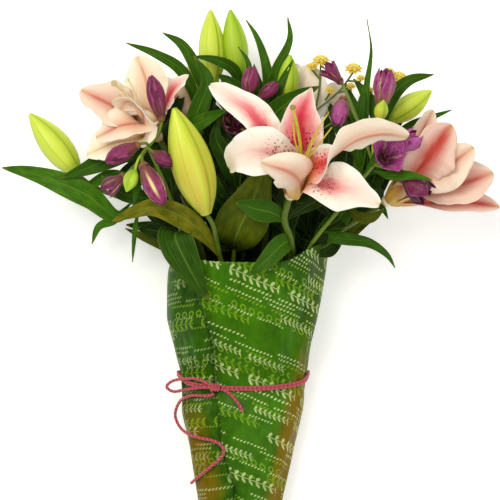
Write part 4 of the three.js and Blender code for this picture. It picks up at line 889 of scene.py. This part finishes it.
def film_paint():
    """Green film, printed with slanted rows of sprigs, grains and rings. Place: 1 on the left
    panel. Tint: how brown, how bright (a painted highlight), 1 inside the wrap (painted shade), and
    how shaded by a fold."""
    p = Paint("wrapping_film", Roughness=0.36, Specular_IOR_Level=0.1)
    soft = p.noise(p.s * 0.5, p.t * 0.35, 1.0)
    crumple = p.noise(p.s * 1.3, p.t * 0.8, 2.0, detail=5.0)
    panel = p.u.math("GREATER_THAN", 0.5)
    slant = panel * -0.52 + 0.4
    x, y = p.s, p.t + p.s * slant + (soft - 0.5) * 0.5

    def cells(line, width, seed, share=1.0):
        """Places along a row in cells, and 1 in that share of them."""
        along = x / width + p.random(line, seed) * 9
        cell = along.math("FLOOR")
        chance = p.random(cell, line + seed)
        return (along - cell - 0.5) * width, chance.math("LESS_THAN", share)

    def motifs(kind, shift, size, width, share, seed):
        """A row of small drawings, in stretches of up to that width."""
        line = ((y + shift) / PRINT_PITCH).math("FLOOR")
        up = (y + shift - (line + 0.5) * PRINT_PITCH) / size
        right, shown = cells(line, width, seed, share)
        stretch = abs(right).rise(width * 0.43, width * 0.42) * shown
        at = cells(line, MOTIF_STEPS[kind] * size, seed + 0.4)[0] / size
        if kind == "sprig":
            lean, high = (at - abs(up) * 0.55 + 0.12) / 0.13, (abs(up) - 0.24) / 0.2
            shape = (lean * lean + high * high).rise(1.2, 0.8)
            return stretch * shape.math("MAXIMUM", abs(up).rise(0.045, 0.02))
        if kind == "grain":
            lean, high = (at - up * 0.8) / 0.1, up / 0.13
            return stretch * (lean * lean + high * high).rise(1.25, 0.75)
        away = (at * at + up * up).math("SQRT")
        return stretch * abs(away - 0.2).rise(0.07, 0.035)

    def printed(rows, seed):
        """Rows of motifs together, each with a seed one on from the last."""
        drawn = [motifs(*row, seed + k) for k, row in enumerate(rows)]
        return reduce(lambda a, b: a.math("MAXIMUM", b), drawn)

    white, lime = printed(WHITE_PRINT, 0.3), printed(LIME_PRINT, 6.3)
    # Lighter where the soft and crumple noise is high, partly uneven film colour and partly painted
    # highlight on the crumples, and lighter in the band of painted highlight down the front.
    tone = soft * 0.7 + crumple * 0.6 + p.green * 0.5
    p.colour = tone.rise(0.3, 1.25).mix((20, 50, 0), (66, 122, 1))
    brown = (p.red * 1.3 + (crumple - 0.5) * 0.7).rise(0.05, 1.1)
    p.coat(brown * 0.8, (130, 94, 3))
    p.coat(lime * 0.6, (132, 172, 36))
    p.coat(white * (0.2 + soft * 0.7 - panel * 0.2), (218, 230, 156))
    p.coat(p.flip * 0.7, (14, 34, 2))
    # The inner side painted dark: painted shade inside the wrap.
    p.coat(p.blue * 0.85, (18, 34, 3))
    return p.done(crumple * 1.6 + soft, 0.7, 0.32 + crumple * 0.2)


def cord_paint():
    """Tint: not used."""
    p = Paint("cord_yarn", Roughness=0.6, Sheen_Weight=0.2)
    yarn = p.noise(p.s * 30, p.v * 5)
    ply = (p.v * 2 + p.s * 2.2).wave()
    p.colour = (yarn * 0.8 + ply * 0.2).rise(0.0, 1.0).mix((132, 8, 40), (224, 50, 100))
    gold = (p.v * 2 + p.s * 2.2 + 0.5).wave().rise(0.8, 0.97)
    p.coat(gold * 0.65, (232, 176, 130))
    return p.done(yarn + ply * 0.4, 0.5)


def floor_paint():
    p = Paint("floor", Roughness=0.9, Specular_IOR_Level=0.1, Emission_Color=(1, 1, 1, 1),
              Emission_Strength=0.34)
    p.colour = p.noise(p.s, p.t).mix((250, 250, 249), (252, 252, 251))
    return p.done()


PETAL, LEAF, STALK, BUD = petal_paint(), leaf_paint(), stalk_paint(), bud_paint()
ALSTRO, SPRAY, STAMEN = alstro_paint(), spray_paint(), stamen_paint()
FILM, CORD, FLOOR = film_paint(), cord_paint(), floor_paint()


# ---------- The tie's free ends ----------
TAIL_RADIUS = 1.6
STRAND_PITCH = 9.0
PLAIN = (0.0, 0.0, 0.0, 0.0)


def twisted(u, angle, length):
    """Two strands twisted round each other."""
    return 0.82 + 0.2 * np.abs(np.cos(angle + 2 * np.pi * u * length / STRAND_PITCH))


for name, path in (("tie_tail_long", LONG_TAIL), ("tie_tail_short", SHORT_TAIL)):
    skin = Skin()
    line = tube(skin, path, TAIL_RADIUS, PLAIN, 16, 14 * len(path), twisted)
    cord = skin.piece(name + "_cord", CORD, name)
    line = line * MM + SHIFT


# ---------- Wrap ----------
PLEATS_Y, BAND_Y = -134, -126
ROUNDNESS = 2 / 2.5
LAP_WIDTH = 34


def wrap_edges(y):
    """The left and right edge and the height of the film at y."""
    rows = np.array(WRAP_SECTIONS, float)[::-1]
    fine = np.linspace(rows[0, 0], rows[-1, 0], 400)
    out = []
    for k in (1, 2, 3):
        values = np.interp(fine, rows[:, 0], rows[:, k])
        padded = np.pad(values, 9, mode="reflect", reflect_type="odd")
        out.append(np.interp(y, fine, np.convolve(padded, np.hanning(21)[1:-1] / 10, "valid")))
    return out


def seam(y):
    """Where the front panel of the film lies over the left one."""
    return np.interp(y, (-240, -202, -95, -70, -12), (-15, -28, -37, -43, -64))


def film_at(angle, y, share, inset, pleats=1.0):
    """Points of the film round the bouquet, share of the way to its mouth's edge."""
    left, right, high = wrap_edges(y)
    crease = 1 + 0.018 * np.cos(7 * angle + 0.03 * y)
    curved = [np.sign(f(angle)) * np.abs(f(angle)) ** ROUNDNESS for f in (np.cos, np.sin)]
    gathers = 0.9 * np.cos(17 * angle + 0.05 * y) + 0.6 * np.cos(29 * angle - 0.04 * y + 1)
    folds = hump(y, PLEATS_Y, 42) * gathers
    folds = folds + 1.1 * share * np.cos(5 * angle + 0.7) + 0.5 * np.cos(11 * angle + 0.06 * y)
    far = (left + right) / 2 + (right - left) / 2 * curved[0] - seam(y)
    step = smoothstep(far, -1.2, 1.2) * hump(far, 1.2, LAP_WIDTH) * (np.sin(angle) > 0)
    folds = (folds - 1.6 + 1.7 * step) * pleats - inset
    x = (left + right) / 2 + ((right - left) / 2 + folds) * crease * curved[0]
    z = (high - 5) / 2 + ((high + 5) / 2 + folds) * crease * curved[1]
    front = (1 + np.sin(angle)) / 2
    facing = -12 + 16 * smoothstep(x, 30, 74) + 6 * smoothstep(-x, 40, 80)
    y = y + share * (12 + (facing - 12) * front)
    lift = 3.9 * hump(y, BAND_Y, 11)
    return np.stack([x, y, np.maximum(z, lift + inset)], axis=-1)


def film_tint(far, x, up, lap, front):
    """How brown, how bright (a painted highlight down the front), 0 outside the wrap (the inside
    gets 1, painted dark as painted shade), and how shaded by the fold at the lap.
    """
    tint = np.zeros((*far.shape, 4))
    right = smoothstep(far, 60 + up * 0.17, 86 + up * 0.17)
    right = right * (0.2 + 0.8 * smoothstep(up, -70, -190))
    low_left = smoothstep(x, lap, lap - 26) * smoothstep(up, -120, -200) * front
    tint[..., 0] = np.clip(right + low_left * 0.65, 0, 1)
    # A lighter band down the front of the wrap: painted highlight.
    tint[..., 1] = 0.55 - 0.45 * smoothstep(np.abs(x - lap - 50), 30, 60)
    tint[..., 3] = 0.9 * hump(x - lap, -1.6, 1.4) * front
    return tint


def wrap(rounds=320, rows=170, film=0.35, hem=-310, mouth_depth=46):
    """The film from its mouth to its hem, with an outer and an inner side."""
    y = np.linspace(0, hem, rows)[:, None]
    angle = (np.arange(rounds) / rounds * 2 * np.pi - np.pi / 2)[None, :]
    y, angle = y + 0 * angle, angle + 0 * y
    share = np.clip(1 + y / mouth_depth, 0, 1) ** 1.3
    outer, inner = film_at(angle, y, share, 0.0), film_at(angle, y, share, film)
    step = np.linalg.norm(np.diff(outer, axis=1, append=outer[:, :1]), axis=-1)
    far = step - np.cumsum(step, axis=1)
    far = far - far[:, rounds // 2][:, None]
    x, up = outer[..., 0], outer[..., 1]
    cm = np.stack([far / 10, up / 10], axis=-1)
    front = np.sin(angle) > 0
    tint = film_tint(far, x, up, seam(y), front)
    # The inner side gets 1 in the third channel, which paints it dark: painted shade inside the
    # wrap.
    inside = tint.copy()
    inside[..., 2:] = (1, 0)
    size = rows * rounds
    edges = []
    for row in (0, rows - 1):
        for j in range(rounds):
            a, b = row * rounds + j, row * rounds + (j + 1) % rounds
            edges.append((a, b, b + size, a + size) if row else (b, a, a + size, b + size))
    faces = [grid_faces(rows, rounds, round_it=True), edges,
             grid_faces(rows, rounds, round_it=True, flip=True) + size]
    skin = Skin()
    double(skin, (outer, inner), faces, np.stack([(x < seam(y)) * front, 0 * x], axis=-1), cm,
           np.vstack([tint.reshape(-1, 4), inside.reshape(-1, 4)]))
    ob = skin.piece("wrap_film", FILM, "wrap")


wrap()


# ---------- Tie ----------
def tie(turn_radius=1.3, apart=1.25, knot_radius=3.0):
    """Two turns of cord round the wrap, the knot and the bow loop."""
    angle = np.linspace(0, 2 * np.pi, 97)
    y = BAND_Y - 14 * np.maximum(0, np.sin(angle)) ** 0.8
    on = film_at(angle, y, 0 * y, 0.0, pleats=0.0)
    away = unit(film_at(angle, y, 0 * y, -1.0, pleats=0.0) - on)
    middle = on + away * 1.67
    skin = Skin()
    for side in (-apart, apart):
        tube(skin, middle + np.array([0, side, 0]), turn_radius, PLAIN, 14, 900, twisted)
    x, y, z = KNOT
    for shift in (-2.6, 0.2, 2.9):
        ring = [(x + shift + 1.4 * math.sin(a), y + knot_radius * math.cos(a),
                 z + knot_radius * math.sin(a)) for a in np.linspace(0, 2 * np.pi, 13)]
        tube(skin, ring, 1.4, PLAIN, 12, 60, twisted)
    spindle(skin, (x - 5, y, z), (x + 5, y, z), [0.4, 0.9, 1, 0.9, 0.4], 3.4, PLAIN, 20, 12)
    tube(skin, BOW_LOOP, TAIL_RADIUS, PLAIN, 16, 150, twisted)
    skin.piece("tie_band_cords", CORD, "tie_band")


tie()


# ---------- Lilies ----------
# How far the solids that sit on a stem start from its end.
GAP = 0.35
SMOOTH_EDGE = (0.0, 1.0, 0.0)
# Depth, waves and phase of the outline of some petals. The others take theirs from their seed.
SCALLOPS = {
    ("lily_centre", 1): (0.12, 2.6, 42),
    ("lily_centre", 2): SMOOTH_EDGE,
    ("lily_centre", 3): (0.2, 2.27, 4.6),
    ("lily_right", 4): SMOOTH_EDGE,
    ("lily_back_top", 0): SMOOTH_EDGE,
}
PETAL_OUTLINES = {("lily_centre", 4): "arched", ("lily_centre", 5): "pointed"}
ARCH_ROLL = (0.32, 0.64, -1.9)
BOSS_TINT, THROAT_TINT = (0.1, 0.0, 0.2, 1.0), (0.3, 0.0, 0.5, 1.0)
BUMP_TINT = (-1.0, 0.0, 0.0, 0.0)


def petal_relief(seed, ruffle):
    """Ruffled edges and a channel along the middle, in millimetres."""
    a, b, c = np.random.default_rng(seed).uniform(0, 2 * np.pi, 3)

    def relief(u, v, w):
        edge = np.abs(v) ** 3 * smoothstep(u, 0.2, 0.5) * smoothstep(u, 1.0, 0.85)
        phase = np.where(v > 0, a, b)
        ruffles = np.sin(ruffle * 5 * u + phase) + 0.5 * np.sin(ruffle * 11 * u + c + 2 * phase)
        channel = hump(v * w, 0, 1.8) * smoothstep(u, 0.02, 0.15) * smoothstep(u, 1.0, 0.8)
        ridges = np.exp(-((np.abs(v) * w - 3.4) ** 2 / 3.0)) * smoothstep(u, 0.8, 0.3)
        trumpet = v**2 * smoothstep(u, 0.4, 0.08)
        return w * (0.085 * (ruffles * edge) + 0.3 * trumpet) - 1.3 * channel + 0.5 * ridges

    return relief


def bumps(skin, upper, normals, count, seed, sides=6):
    """Small raised points on a petal's inner face, round its middle."""
    draw = np.random.default_rng(seed)
    rows, columns = upper.shape[:2]
    for _ in range(count):
        i = int(rows * draw.uniform(0.26, 0.62))
        j = int(columns * np.clip(draw.normal(0.5, 0.14), 0.2, 0.8))
        at, n = upper[i, j], normals[i, j]
        side = unit(np.cross(n, (0.3, 0.5, 0.1)))
        other = np.cross(n, side)
        size = draw.uniform(0.6, 1.0)
        ring = [at - n * 0.2 + (side * math.cos(a) + other * math.sin(a)) * size
                for a in np.linspace(0, 2 * np.pi, sides + 1)[:-1]]
        faces = [(k, (k + 1) % sides, sides) for k in range(sides)]
        skin.add([*ring, at + n * 1.5 * size], [faces], (0.45, 0.5), (0, 0), BUMP_TINT)


def lily(name, base, axis, petals):
    """A bloom: its boss, its petals and, in the left and right ones, a solid in the throat."""
    axis = unit(np.array(axis, float))
    fine = name == "lily_centre"
    steps, across = (56, 28) if fine else (40, 18)
    skin = Skin()
    spindle(skin, ahead(base, axis, GAP), ahead(base, axis, 9.4), [0.7, 0.86, 1, 1, 0.8, 0.2], 6.0,
            BOSS_TINT, 24, 12)
    if name in ("lily_left", "lily_right"):
        spindle(skin, ahead(base, axis, 9), ahead(base, axis, 40), [0.6, 0.9, 1, 0.8, 0.3], 9.0,
                THROAT_TINT, 24, 16)
    for k, (width, face, tint, *path) in enumerate(petals):
        out = np.array(path[0], float) - base
        out = unit(out - axis * np.dot(out, axis))
        root, neck = beside(base, axis, 4, out, 4.2), beside(base, axis, 14, out, 10.5)
        seed = 31 * k + len(name)
        outline = PETAL_OUTLINES.get((name, k), "blunt" if name == "lily_right" else "petal")
        scallop = SCALLOPS.get((name, k), (0.08, 2.6, seed))
        upper, normals = blade(
            skin, [root, neck, *path], width * 1.06, tint, face, -out, outline,
            0.6 if fine else 0.5, cup=0.2, fold=0.06, thick=0.7, steps=steps, across=across,
            relief=petal_relief(seed, 6.0 if scallop[0] else 1.5), scallop=scallop,
            roll=ARCH_ROLL if outline == "arched" else None)
        if fine:
            bumps(skin, upper, normals, int(30 * tint[1]), seed)
    skin.piece(name + "_bloom", PETAL, name)


for name, row in LILIES.items():
    lily(name, *row)

THIRD_TURN = 2.094
LOBE_SHARES, ANTHER_SHARES = [0.5, 0.9, 1, 0.8, 0.3], [0.6, 1, 0.7, 0.2]


def end_of(path):
    """The last place of a path, and the way on from it."""
    end = np.array(path[-1], float)
    return end, unit(end - path[-2])


def stamens(name, of, pistil, filaments):
    """The pistil with its three-lobed end, and the filaments, in the throat of that lily."""
    base, axis, _ = LILIES[of]
    axis = unit(np.array(axis, float))
    skin = Skin()
    pale = float(name != "stamens_centre")
    start = ahead(base, axis, 14)
    thread = (pale, 0, 0, 0)
    tube(skin, [ahead(base, axis, 9.35), ahead(base, axis, 16)], (2.2, 1.8), thread, 12, 6)
    tube(skin, [start, *pistil], (1.5, 1.7), (pale, 0.25, 0, 0), 12, 40)
    end, way = end_of(pistil)
    for turn in range(3):
        side = turned(unit(np.cross(way, (0.2, 0.9, 0.3))), way, turn * THIRD_TURN)
        spindle(skin, end - way * 1.5 + side * 0.8, end + way * 2.2 + side * 1.6, LOBE_SHARES, 2.2,
                (pale, 1, 0, 0), 14, 10)
    for path in filaments:
        tube(skin, [start, *path], (1.1, 0.7), thread, 8, 36)
        end, way = end_of(path)
        spindle(skin, end - way, end + way * 2.0, ANTHER_SHARES, 0.95, (pale, 0.6, 0, 0), 8, 6)
    skin.piece(name + "_threads", STAMEN, name)


for name, row in STAMENS.items():
    stamens(name, *row)


# ---------- Buds ----------
BUD_SHARES = [0.26, 0.68, 0.92, 1.0, 0.95, 0.78, 0.5, 0.12]


def bud_relief(u, angle):
    """Three swollen sides with a groove between each two, and a keel on each."""
    groove = np.exp(-((np.cos(1.5 * angle) / 0.12) ** 2)) * smoothstep(u, 0.0, 0.15)
    keel = np.abs(np.cos(1.5 * angle)) ** 30
    return 1 + 0.045 * np.cos(3 * angle) - 0.05 * groove + 0.02 * keel * smoothstep(u, 1.0, 0.7)


for name, (base, tip, radius, tint) in BUDS.items():
    skin = Skin()
    way = unit(np.array(tip, float) - base)
    spindle(skin, ahead(base, way, GAP), tip, BUD_SHARES, radius, tint, 96, 70, bud_relief)
    skin.piece(name + "_skin", BUD, name)


# ---------- Alstroemeria ----------
FIFTH_TURN = 1.2566


def floret_relief(seed):
    def relief(u, v, w):
        wave = 0.09 * w * np.sin(11 * u + seed + np.where(v > 0, 2, 0))
        return wave * np.abs(v) ** 2 * smoothstep(u, 0.3, 0.6)

    return relief


def ribbed(ribs, depth):
    """The relief of a spindle with that many ribs."""
    return lambda u, angle: 1 + depth * np.cos(ribs * angle)


def floret(name, base, tip, radius, is_open, tint):
    """Six petals, narrower for the inner three, round a closed core or some filaments."""
    base, tip = np.array(base, float), np.array(tip, float)
    length = np.linalg.norm(tip - base)
    axis = (tip - base) / length
    side = unit(np.cross((0.3, 0.2, 1), axis))
    pink, yellow, green = tint
    skin = Skin()

    def at(u, r, out):
        return beside(base, axis, u * length, out, r * radius)

    spindle(skin, ahead(base, axis, GAP), ahead(base, axis, 0.26 * length),
            [0.3, 0.46, 0.5, 0.42, 0.2], radius, (0.1, 0.0, 2.0, 0.0), 18, 12, ribbed(6, 0.08))
    closed = is_open < 0.25
    if closed:
        spindle(skin, ahead(base, axis, 0.08 * length), ahead(base, axis, 0.97 * length),
                [0.3, 0.74, 0.9, 0.7, 0.2], radius, (*tint, 0.0), 30, 20, ribbed(3, 0.06))
    for k in range(6):
        out = turned(side, axis, 2 * math.pi * k / 6 + 0.2 * math.sin(5.0 * k + length))
        inner = k % 2
        if closed:
            bends = [(0.06, 0.3), (0.3, 0.78), (0.56, 0.94), (0.82, 0.72),
                     (0.99 - 0.05 * inner, 0.2 + is_open)]
            wide, cup = radius * (1.0 if inner else 1.5), 0.4
        else:
            spread = (1.2 if inner else 1.45) * is_open
            bends = [(0.08, 0.3), (0.34, 0.66), (0.66, 0.86 + 0.3 * is_open),
                     (1 - 0.2 * is_open - 0.04 * inner, 0.2 + spread)]
            wide, cup = radius * (1.1 if inner else 1.6), 0.3
        shade = pink * (0.75 if inner else 1) + 0.12 * math.sin(3.0 * k + length)
        streaked = 1 if inner or yellow > 0.8 else 0.3
        blade(skin, [at(u, r, out) for u, r in bends], wide,
              (shade, yellow * streaked, green, float(inner)), axis * is_open - out,
              outline="petal", hold=0.667, cup=cup, fold=0.0, thick=0.45, steps=20, across=10,
              relief=floret_relief(k + length), scallop=(0.1, 1.8, k + length))
    if is_open > 0.45:
        for k in range(5):
            out = turned(side, axis, FIFTH_TURN * k + 0.4)
            path = [at(0.2, 0, out), at(0.6, 0.3, out), at(0.85, 0.42, out)]
            tube(skin, path, (0.5, 0.35), (0.8, 0.2, 0, 0), 6, 12)
            spindle(skin, path[-1], ahead(path[-1], axis, 2.2), [0.5, 1, 0.9, 0.4], 0.8,
                    (0.1, 0.0, 1.0, 0.0), 8, 6)
    skin.piece(name + "_petals", ALSTRO, name)


for _, florets in UMBELS.values():
    for name, row in florets.items():
        floret(name, *row)

# A bud on two of the stems: its stalk, tip, radius and tint.
GREEN_BUDS = {
    "alstro_stem_left": ([(-100, 101, 150), (-109, 90, 154), (-113, 78, 156)],
                         (-121, 57, 162), 7.2, (0.6, 0.75, 0, 0)),
    "alstro_stem_right": ([(122, 84, 138), (121, 108, 150), (126, 128, 158)],
                          (131, 147, 162), 6.8, (0.4, 0.6, 0.5, 0)),
}
GREEN_BUD_SHARES = [0.4, 0.8, 0.98, 1, 0.85, 0.5, 0.1]
for name, (stalk, tip, radius, tint) in GREEN_BUDS.items():
    skin = Skin()
    tube(skin, stalk, (1.2, 1.5), (0.6, 0.6, 0, 0), 12, 16)
    spindle(skin, stalk[-1], tip, GREEN_BUD_SHARES, radius, tint, 40, 30, bud_relief)
    skin.piece(name + "_bud", BUD, name)


# ---------- Small yellow flowers ----------
# The rings of florets in a head: how many, how far out and how far up.
FLORET_RINGS = [(9, 1.15, 0.55), (7, 0.85, 0.95), (5, 0.5, 1.1)]
# Smaller heads on side shoots of the same stem: where each shoot starts and ends.
SPRAY_SHOOTS = [
    ((76, 151, 81), (80, 157, 89)), ((98, 170, 85), (111, 169, 91)),
    ((88, 158, 84), (101, 161, 90)), ((112, 144, 78), (119, 157, 88)),
    ((70, 172, 85), (62, 181, 90)), ((142, 162, 81), (140, 176, 88)),
]


def spray_head(skin, at, size):
    """A small yellow head: rings of florets on a green cup."""
    x, y, z = at
    base, tip = np.array([x, y + 0.3, z + 1.2]), np.array([x, y + 6, z + 6.0])
    axis = unit(tip - base)
    spindle(skin, base, ahead(base, axis, 5.5), [0.3, 0.8, 1, 0.7, 0.3], size * 0.43,
            (0.2, 1.0, 0, 0), 16, 10)
    side = unit(np.cross((0.2, 0.4, 1), axis))
    for ring, (count, reach, rise) in enumerate(FLORET_RINGS):
        for k in range(count):
            out = turned(side, axis, 2 * math.pi * (k + 0.5 * ring) / count)
            path = [ahead(base, axis, 2.5),
                    beside(base, axis, 4.5 * rise + 1, out, size * reach * 0.5),
                    beside(base, axis, 5.5 * rise, out, size * reach)]
            blade(skin, path, size * 0.6, (0.3 + 0.2 * ring, 0, 0, 0), axis, outline="petal",
                  cup=0.3, thick=0.4, steps=8, across=4)


for name, at in SPRAY_HEADS.items():
    skin = Skin()
    spray_head(skin, at, 8.0)
    skin.piece(name + "_florets", SPRAY, name)

skin = Skin()
for k, (_, at) in enumerate(SPRAY_SHOOTS):
    spray_head(skin, at, 4.6 + 0.5 * math.sin(5 * k))
skin.piece("spray_stem_florets", SPRAY, "spray_stem")


# ---------- Stems and leaves ----------
def stalk_shape(u, angle, length):
    return 1 + 0.05 * np.cos(5 * angle) + 0.04 * np.sin(u * length * 0.11) * np.sin(3 * angle)


def stalks(name, tubes, tone):
    """A stem's stalks, each a path and its radii from root to tip."""
    skin = Skin()
    for points, radii in tubes:
        tube(skin, points, radii, (tone, 0.0, 0, 0), 14, 10 * len(points), stalk_shape)
    skin.piece(name + "_stalk", STALK, name)


def leaf_relief(seed):
    a, b = np.random.default_rng(seed).uniform(0, 2 * np.pi, 2)

    def relief(u, v, w):
        wave = np.sin(9 * u + np.where(v > 0, a, b)) * np.abs(v) ** 2 * smoothstep(u, 0.05, 0.3)
        veins = 0.12 * np.cos(v * 9 * np.pi) * smoothstep(u, 1.0, 0.8)
        return 0.07 * w * wave + veins

    return relief


def in_head(x, y, z):
    """The nearest place that the flowers of the head surround."""
    left, right = -86 - 0.6 * max(y, 0), 78 + 0.8 * max(y, 0)
    return np.array([min(max(x, left), right), min(y, 140), min(max(z, 14), 96)])


def shade_fillers(main, seed, count=8):
    """Leaves painted dark as painted shade, which fill the middle of the head, out from a stem."""
    draw = np.random.default_rng(seed)
    at, _, _ = spline(main, 60)
    at = at[(at[:, 1] > -14) & (at[:, 1] < 104)]
    rows = []
    for k in range(count):
        root = at[int(len(at) * (k + draw.uniform(0.2, 0.8)) / count)]
        turn = draw.uniform(0.1, 3.0)
        reach, rise = draw.uniform(38, 66), draw.uniform(-10, 8)
        way = np.array([math.cos(turn), 0.8 * math.sin(turn) + 0.1, 0])
        path = [root, root + way * reach * 0.35 + (0, 0, rise),
                root + way * reach * 0.7 + (0, 4, rise - 6), root + way * reach + (0, 3, rise - 18)]
        path = [in_head(*p) for p in path]
        # A low brightness, so these leaves are painted shade.
        rows.append((draw.uniform(15, 24), draw.uniform(-0.9, -0.35), *path))
    return rows


def leaves(name, rows):
    skin = Skin()
    for k, (width, tone, *path) in enumerate(rows):
        tone, olive = tone if isinstance(tone, tuple) else (tone, 0.0)
        n = len(path) - 1
        blade(skin, path, width, (0.5 + 0.5 * tone, olive, 0.0, 0.0),
              outline="reed" if (name, k) == REED else "leaf", cup=0.1 if width > 40 else 0.15,
              hold=math.floor(n / 2 + 0.5) / n, steps=10 * n, across=12 if width > 15 else 8,
              relief=leaf_relief(13 * k + len(name)), scallop=(0.04, 2.2, 13 * k))
    skin.piece(name + "_leaves", LEAF, name)


def back_leaves(count=8):
    """Leaves in pairs along the stem at the back, down to the table."""
    rows = []
    for k in range(count):
        side, t = (1 if k % 2 else -1), k / (count - 1)
        x, y, z = -6 + 2 * t, 112 * t, 13 + 8 * t
        reach, rise = 122 - 70 * t, 26 + 46 * t
        reach = side * reach
        rows.append((22, -0.3, (x, y, z), (x + reach * 0.4, y + rise * 0.5, z - 4),
                     (x + reach * 0.8, y + rise * 0.9, -1), (x + reach, y + rise, -8)))
    return rows


def pedicels(stem_name):
    """The florets' own stalks, out from where the stem parts."""
    umbel, florets = UMBELS[stem_name]
    tubes = []
    for base, tip, *_ in florets.values():
        axis = unit(np.array(tip, float) - base)
        bend = np.array(umbel, float) * 0.4 + np.array(base) * 0.6 - axis * 4
        tubes.append(([umbel, bend, base], (1.3, 1.5)))
    return tubes


REED = ("lily_stem_right", 2)
MAINS = {**{name: main for name, (main, _) in LILY_STEMS.items()}, **ALSTRO_STEMS,
         "foliage_stem_back": FOLIAGE_MAIN}
for name, (main, forks) in LILY_STEMS.items():
    stalks(name, [(main, (4.2, 3.2)), *((fork, (3.0, 2.4)) for fork in forks)], 0.45)
for name, main in ALSTRO_STEMS.items():
    stalks(name, [(main, (2.6, 1.8)), *pedicels(name)], 0.6)
twigs = SPRAY_TWIGS + [[*shoot] for shoot in SPRAY_SHOOTS]
stalks("spray_stem", [(SPRAY_MAIN, (1.6, 1.3)), *((twig, (1.1, 0.9)) for twig in twigs)], 0.5)
stalks("foliage_stem_back", [(FOLIAGE_MAIN, (2.2, 1.5))], 0.35)
LEAVES["foliage_stem_back"] = back_leaves()
for k, (name, rows) in enumerate(LEAVES.items()):
    leaves(name, rows + shade_fillers(MAINS[name], 100 + k))


# ---------- Floor and light ----------
def floor(half=4.0):
    skin = Skin()
    corners = np.array([(-1, -1, 0), (1, -1, 0), (1, 1, 0), (-1, 1, 0)]) * half / MM
    skin.add(corners, [[(0, 1, 2, 3)]], (0, 0), corners[:, :2] / 10, PLAIN)
    skin.made("floor", FLOOR)


def light(name, at, size, power, colour=(1, 1, 1)):
    """A square light that looks at the bouquet."""
    data = bpy.data.lights.new(name, "AREA")
    data.energy, data.size, data.color = power, size, colour
    ob = bpy.data.objects.new(name, data)
    ob.location = at
    direction = np.array([0, 0.05, 0.1]) - at
    ob.rotation_euler = Vector(direction).to_track_quat("-Z", "Y").to_euler()
    bpy.context.scene.collection.objects.link(ob)


def surroundings(colour=(1.0, 0.99, 0.95, 1.0), strength=0.42):
    world = bpy.data.worlds.new("studio")
    world.use_nodes = True
    background = world.node_tree.nodes["Background"]
    background.inputs["Color"].default_value = colour
    background.inputs["Strength"].default_value = strength
    bpy.context.scene.world = world


floor()
light("key", (-0.7, 0.9, 2.2), 1.2, 36, (1.0, 0.97, 0.9))
light("fill", (1.2, -0.6, 1.8), 1.6, 14)
surroundings()
